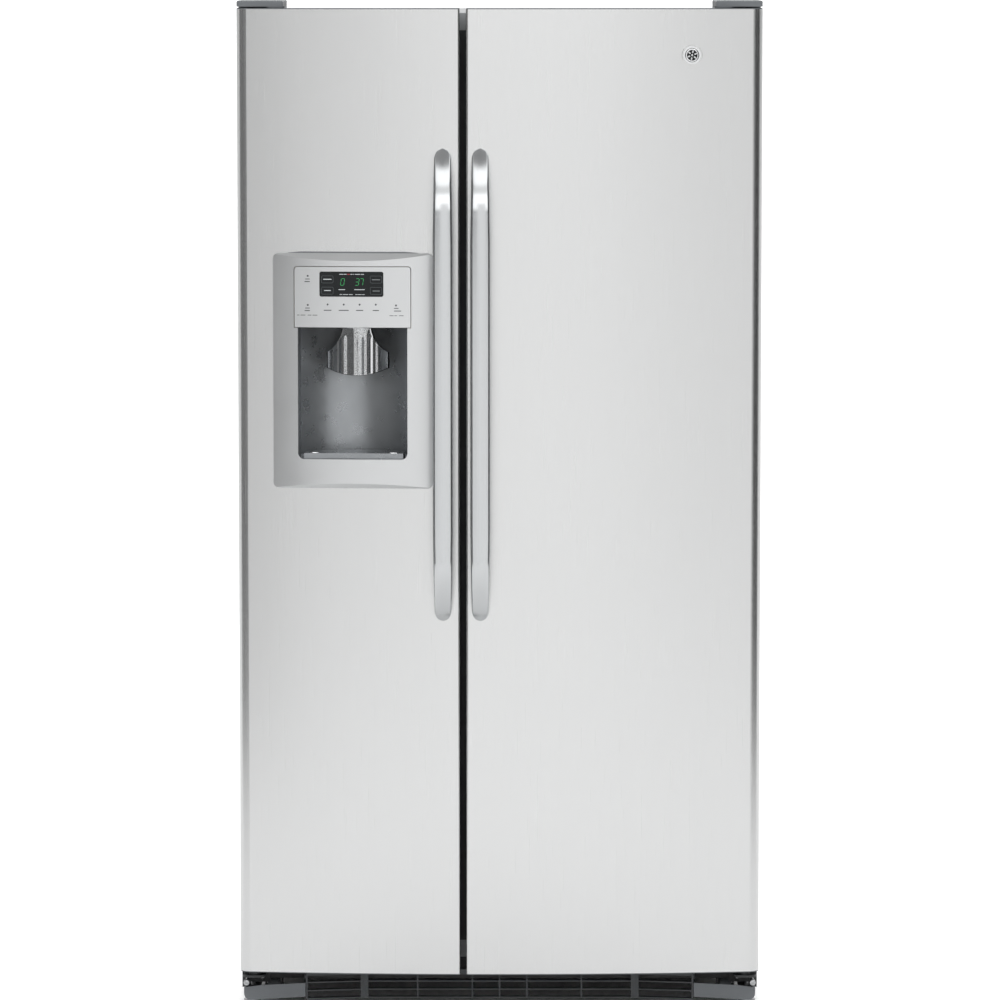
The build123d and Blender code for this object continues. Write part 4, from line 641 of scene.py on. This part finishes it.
# ---------------------------------------------------------------- screws and small fittings
TO_BACK = math.radians(-90)
back_lo, back_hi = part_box("rear_panel")
cover_lo, cover_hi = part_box("machine_cover")
bm = bmesh.new()
BACK_INSET, SCREW_SINK, BACK_SCREW = 0.016, 0.0042, 0.0036
for i in range(7):
    z = back_lo.z + BACK_INSET + (back_hi.z - back_lo.z - 2 * BACK_INSET) * i / 6
    for x in (back_lo.x + BACK_INSET, back_hi.x - BACK_INSET):
        hex_screw(bm, place(x, back_hi.y - SCREW_SINK, z, 0, TO_BACK), BACK_SCREW)
for i in range(1, 5):
    x = back_lo.x + (back_hi.x - back_lo.x) * i / 5
    hex_screw(bm, place(x, back_hi.y - SCREW_SINK, back_hi.z - BACK_INSET, 0, TO_BACK), BACK_SCREW)
for x in (cover_lo.x + 0.02, -0.13, 0.14, cover_hi.x - 0.02):
    for z in (cover_lo.z + 0.012, cover_hi.z - 0.012):
        hex_screw(bm, place(x, cover_hi.y - SCREW_SINK, z, 0, TO_BACK), BACK_SCREW)
piece("back_screws", bm, LOOKS["zinc"], "cabinet")

# screws of the upper hinge plates and of the lower front corners
bm = bmesh.new()
for side in (-1, 1):
    for x, y in ((0.408, -0.205), (0.432, -0.205), (0.408, -0.250)):
        hex_screw(bm, place(side * x, y, case_hi.z + 0.0031), 0.0046)
    for z in (0.0475, 0.0535):
        cross_screw(bm, place(side * 0.418, case_lo.y - 0.0032, z, 0, TO_FRONT), 0.0030)
        cross_screw(bm, place(side * 0.444, case_lo.y - 0.0032, z, 0, TO_FRONT), 0.0030)
piece("hinge_screws", bm, LOOKS["zinc"], "cabinet")

# round heads of the roller adjusters, below the lower hinges
bm = bmesh.new()
for side in (-1, 1):
    lathe(bm, place(side * 0.4440, case_lo.y - 0.002, 0.0484, 0, TO_FRONT),
          [(0.0, -0.004), (0.0032, -0.004), (0.0032, 0.051), (0.0056, 0.0515), (0.0058, 0.0535),
           (0.0045, 0.0555), (0.0022, 0.0560), (0.0020, 0.0545), (0, 0.0545)], 20)
piece("roller_adjusters", bm, LOOKS["zinc"], "cabinet")

# ---------------------------------------------------------------- surroundings
scene = bpy.context.scene


def away(value, low, high, look):
    """0 below one distance from the middle and 1 beyond another."""
    size = look.nodes.new("ShaderNodeMath")
    size.operation = "ABSOLUTE"
    look.links.new(value, size.inputs[0])
    return look.ramp(size.outputs[0], 0.0, 1.0, low, high)


def floor_material():
    """Pale floor that glows a little, so the backdrop is white, but not under the cabinet."""
    look = Look("floor", (0.82, 0.82, 0.82), 0.8, Emission_Color=(1, 1, 1, 1))
    look.vary_color(look.noise(0.8, 3), 0.985, 1.0)
    split = look.nodes.new("ShaderNodeSeparateXYZ")
    look.links.new(look.coordinates, split.inputs["Vector"])
    beside = away(split.outputs["X"], *SHADE_X, look)
    ahead = away(split.outputs["Y"], *SHADE_Y, look)
    clear = look.nodes.new("ShaderNodeMath")
    clear.operation = "MAXIMUM"
    look.links.new(beside, clear.inputs[0])
    look.links.new(ahead, clear.inputs[1])
    seen = look.nodes.new("ShaderNodeLightPath").outputs["Is Camera Ray"]
    level = look.ramp(seen, FLOOR_GLOW, FLOOR_GLOW_SEEN, 0.0, 1.0)
    glow = look.nodes.new("ShaderNodeMath")
    glow.operation = "MULTIPLY"
    look.links.new(clear.outputs[0], glow.inputs[0])
    look.links.new(level, glow.inputs[1])
    look.links.new(glow.outputs[0], look.shader.inputs["Emission Strength"])
    return look.material


FLOOR_GLOW, FLOOR_GLOW_SEEN = 0.12, 0.6  # to other surfaces, and to the camera
SHADE_X, SHADE_Y = (0.42, 0.47), (0.335, 0.37)  # where the glow fades in beside the cabinet
bm = bmesh.new()
lathe(bm, place(0, 0, 0), [(0, 0), (4, 0), (30, 0), (400, 0)], 64)
mesh = bpy.data.meshes.new("floor")
bm.to_mesh(mesh)
bm.free()
floor = bpy.data.objects.new("floor", mesh)
mesh.materials.append(floor_material())
scene.collection.objects.link(floor)

# A studio dome: each row of stops is (position from -1 to 1, brightness)
DOME_STRENGTH = 1.8
STOPS_ACROSS = ((-1.0, 0.4), (-0.5, 0.4), (-0.25, 1.0), (0.55, 1.0), (0.75, 0.3), (1.0, 0.2))
STOPS_UP = ((-1.0, 0.6), (0.0, 0.30), (0.07, 0.32), (0.15, 1.0), (0.42, 1.0), (0.48, 0.55), (0.58, 0.55),
            (0.64, 0.9), (0.86, 0.9), (0.92, 0.22), (1.0, 0.18))
world = bpy.data.worlds.new("studio")
scene.world = world
world.use_nodes = True
sky, links = world.node_tree.nodes, world.node_tree.links
split = sky.new("ShaderNodeSeparateXYZ")
links.new(sky.new("ShaderNodeTexCoord").outputs["Generated"], split.inputs["Vector"])


def dome_ramp(axis, stops):
    """Brightness of the dome along one axis."""
    spread = sky.new("ShaderNodeMapRange")
    spread.inputs["From Min"].default_value = -1
    links.new(split.outputs[axis], spread.inputs["Value"])
    node = sky.new("ShaderNodeValToRGB")
    ramp = node.color_ramp
    for position, _ in stops[1:-1]:
        ramp.elements.new((position + 1) / 2)
    for element, (_, value) in zip(ramp.elements, stops):
        element.color = (value, value, value, 1)
    links.new(spread.outputs["Result"], node.inputs["Fac"])
    return node.outputs["Color"]


dome = sky.new("ShaderNodeVectorMath")
dome.operation = "MULTIPLY"
links.new(dome_ramp("X", STOPS_ACROSS), dome.inputs[0])
links.new(dome_ramp("Z", STOPS_UP), dome.inputs[1])
mix = sky.new("ShaderNodeMix")
mix.data_type = "RGBA"
links.new(sky.new("ShaderNodeLightPath").outputs["Is Camera Ray"], mix.inputs["Factor"])
links.new(dome.outputs["Vector"], mix.inputs["A"])
mix.inputs["B"].default_value = (1.0, 1.0, 1.0, 1)
links.new(mix.outputs["Result"], sky["Background"].inputs["Color"])
sky["Background"].inputs["Strength"].default_value = DOME_STRENGTH


def soft_light(name, at, target, width, height, watts):
    """An area light that mirrors do not show."""
    data = bpy.data.lights.new(name, "AREA")
    data.shape = "RECTANGLE"
    data.size, data.size_y, data.energy = width, height, watts
    light = bpy.data.objects.new(name, data)
    light.location = at
    light.rotation_mode = "QUATERNION"
    light.rotation_quaternion = (Vector(target) - Vector(at)).to_track_quat("-Z", "Y")
    light.visible_glossy = False
    scene.collection.objects.link(light)


def card(name, start, end, reach, low, high, level, steps=8):
    """A curved studio card that only mirrors show, from one bearing to another about the object."""
    bm = bmesh.new()
    rows = []
    for i in range(steps + 1):
        a = math.radians(start + (end - start) * i / steps)
        x, y = reach * math.sin(a), -reach * math.cos(a)
        rows.append((bm.verts.new((x, y, low)), bm.verts.new((x, y, high))))
    for (a, b), (c, d) in zip(rows, rows[1:]):
        bm.faces.new((a, b, d, c))
    mesh = bpy.data.meshes.new(name)
    bm.to_mesh(mesh)
    bm.free()
    glow = Look(name, (0, 0, 0), 1.0, Emission_Color=(1, 1, 1, 1), Emission_Strength=level)
    glow.vary_color(glow.noise(0.5, 1), 0.9, 1.0)
    mesh.materials.append(glow.material)
    obj = bpy.data.objects.new(name, mesh)
    scene.collection.objects.link(obj)
    for way in ("camera", "diffuse", "transmission", "volume_scatter", "shadow"):
        setattr(obj, "visible_" + way, False)


card("card_front", -7, 12, 3.5, 0.0, 2.2, 1.0)
card("card_left", -23, -88, 3.6, 0.0, 4.2, 0.16)
card("card_right", 33, 88, 3.6, 0.0, 4.2, 0.05)

soft_light("overhead_front", (0.3, -3.2, 5.2), (0, -0.3, 1.2), 3.0, 1.2, 60)
soft_light("fill_back", (-1.5, 5.0, 3.2), (0, 0, 1.0), 2.5, 2.5, 60)

# ---------------------------------------------------------------- camera
HANDLE_FRONT_Y = cad_lo.y + 0.0015
CAMERA_X, CAMERA_Z, CAMERA_REACH, CAMERA_DIP, CAMERA_LENS = 0.0007, 1.863, 9.5, 5.73, 199.7
camera_data = bpy.data.cameras.new("camera")
camera = bpy.data.objects.new("camera", camera_data)
scene.collection.objects.link(camera)
scene.camera = camera
camera_data.sensor_width = 36
camera_data.lens = CAMERA_LENS
camera_data.clip_start, camera_data.clip_end = 0.1, 1000
camera.location = (CAMERA_X, HANDLE_FRONT_Y - CAMERA_REACH, CAMERA_Z)
camera.rotation_euler = (math.radians(90 - CAMERA_DIP), 0, 0)
scene.view_settings.view_transform = "Standard"
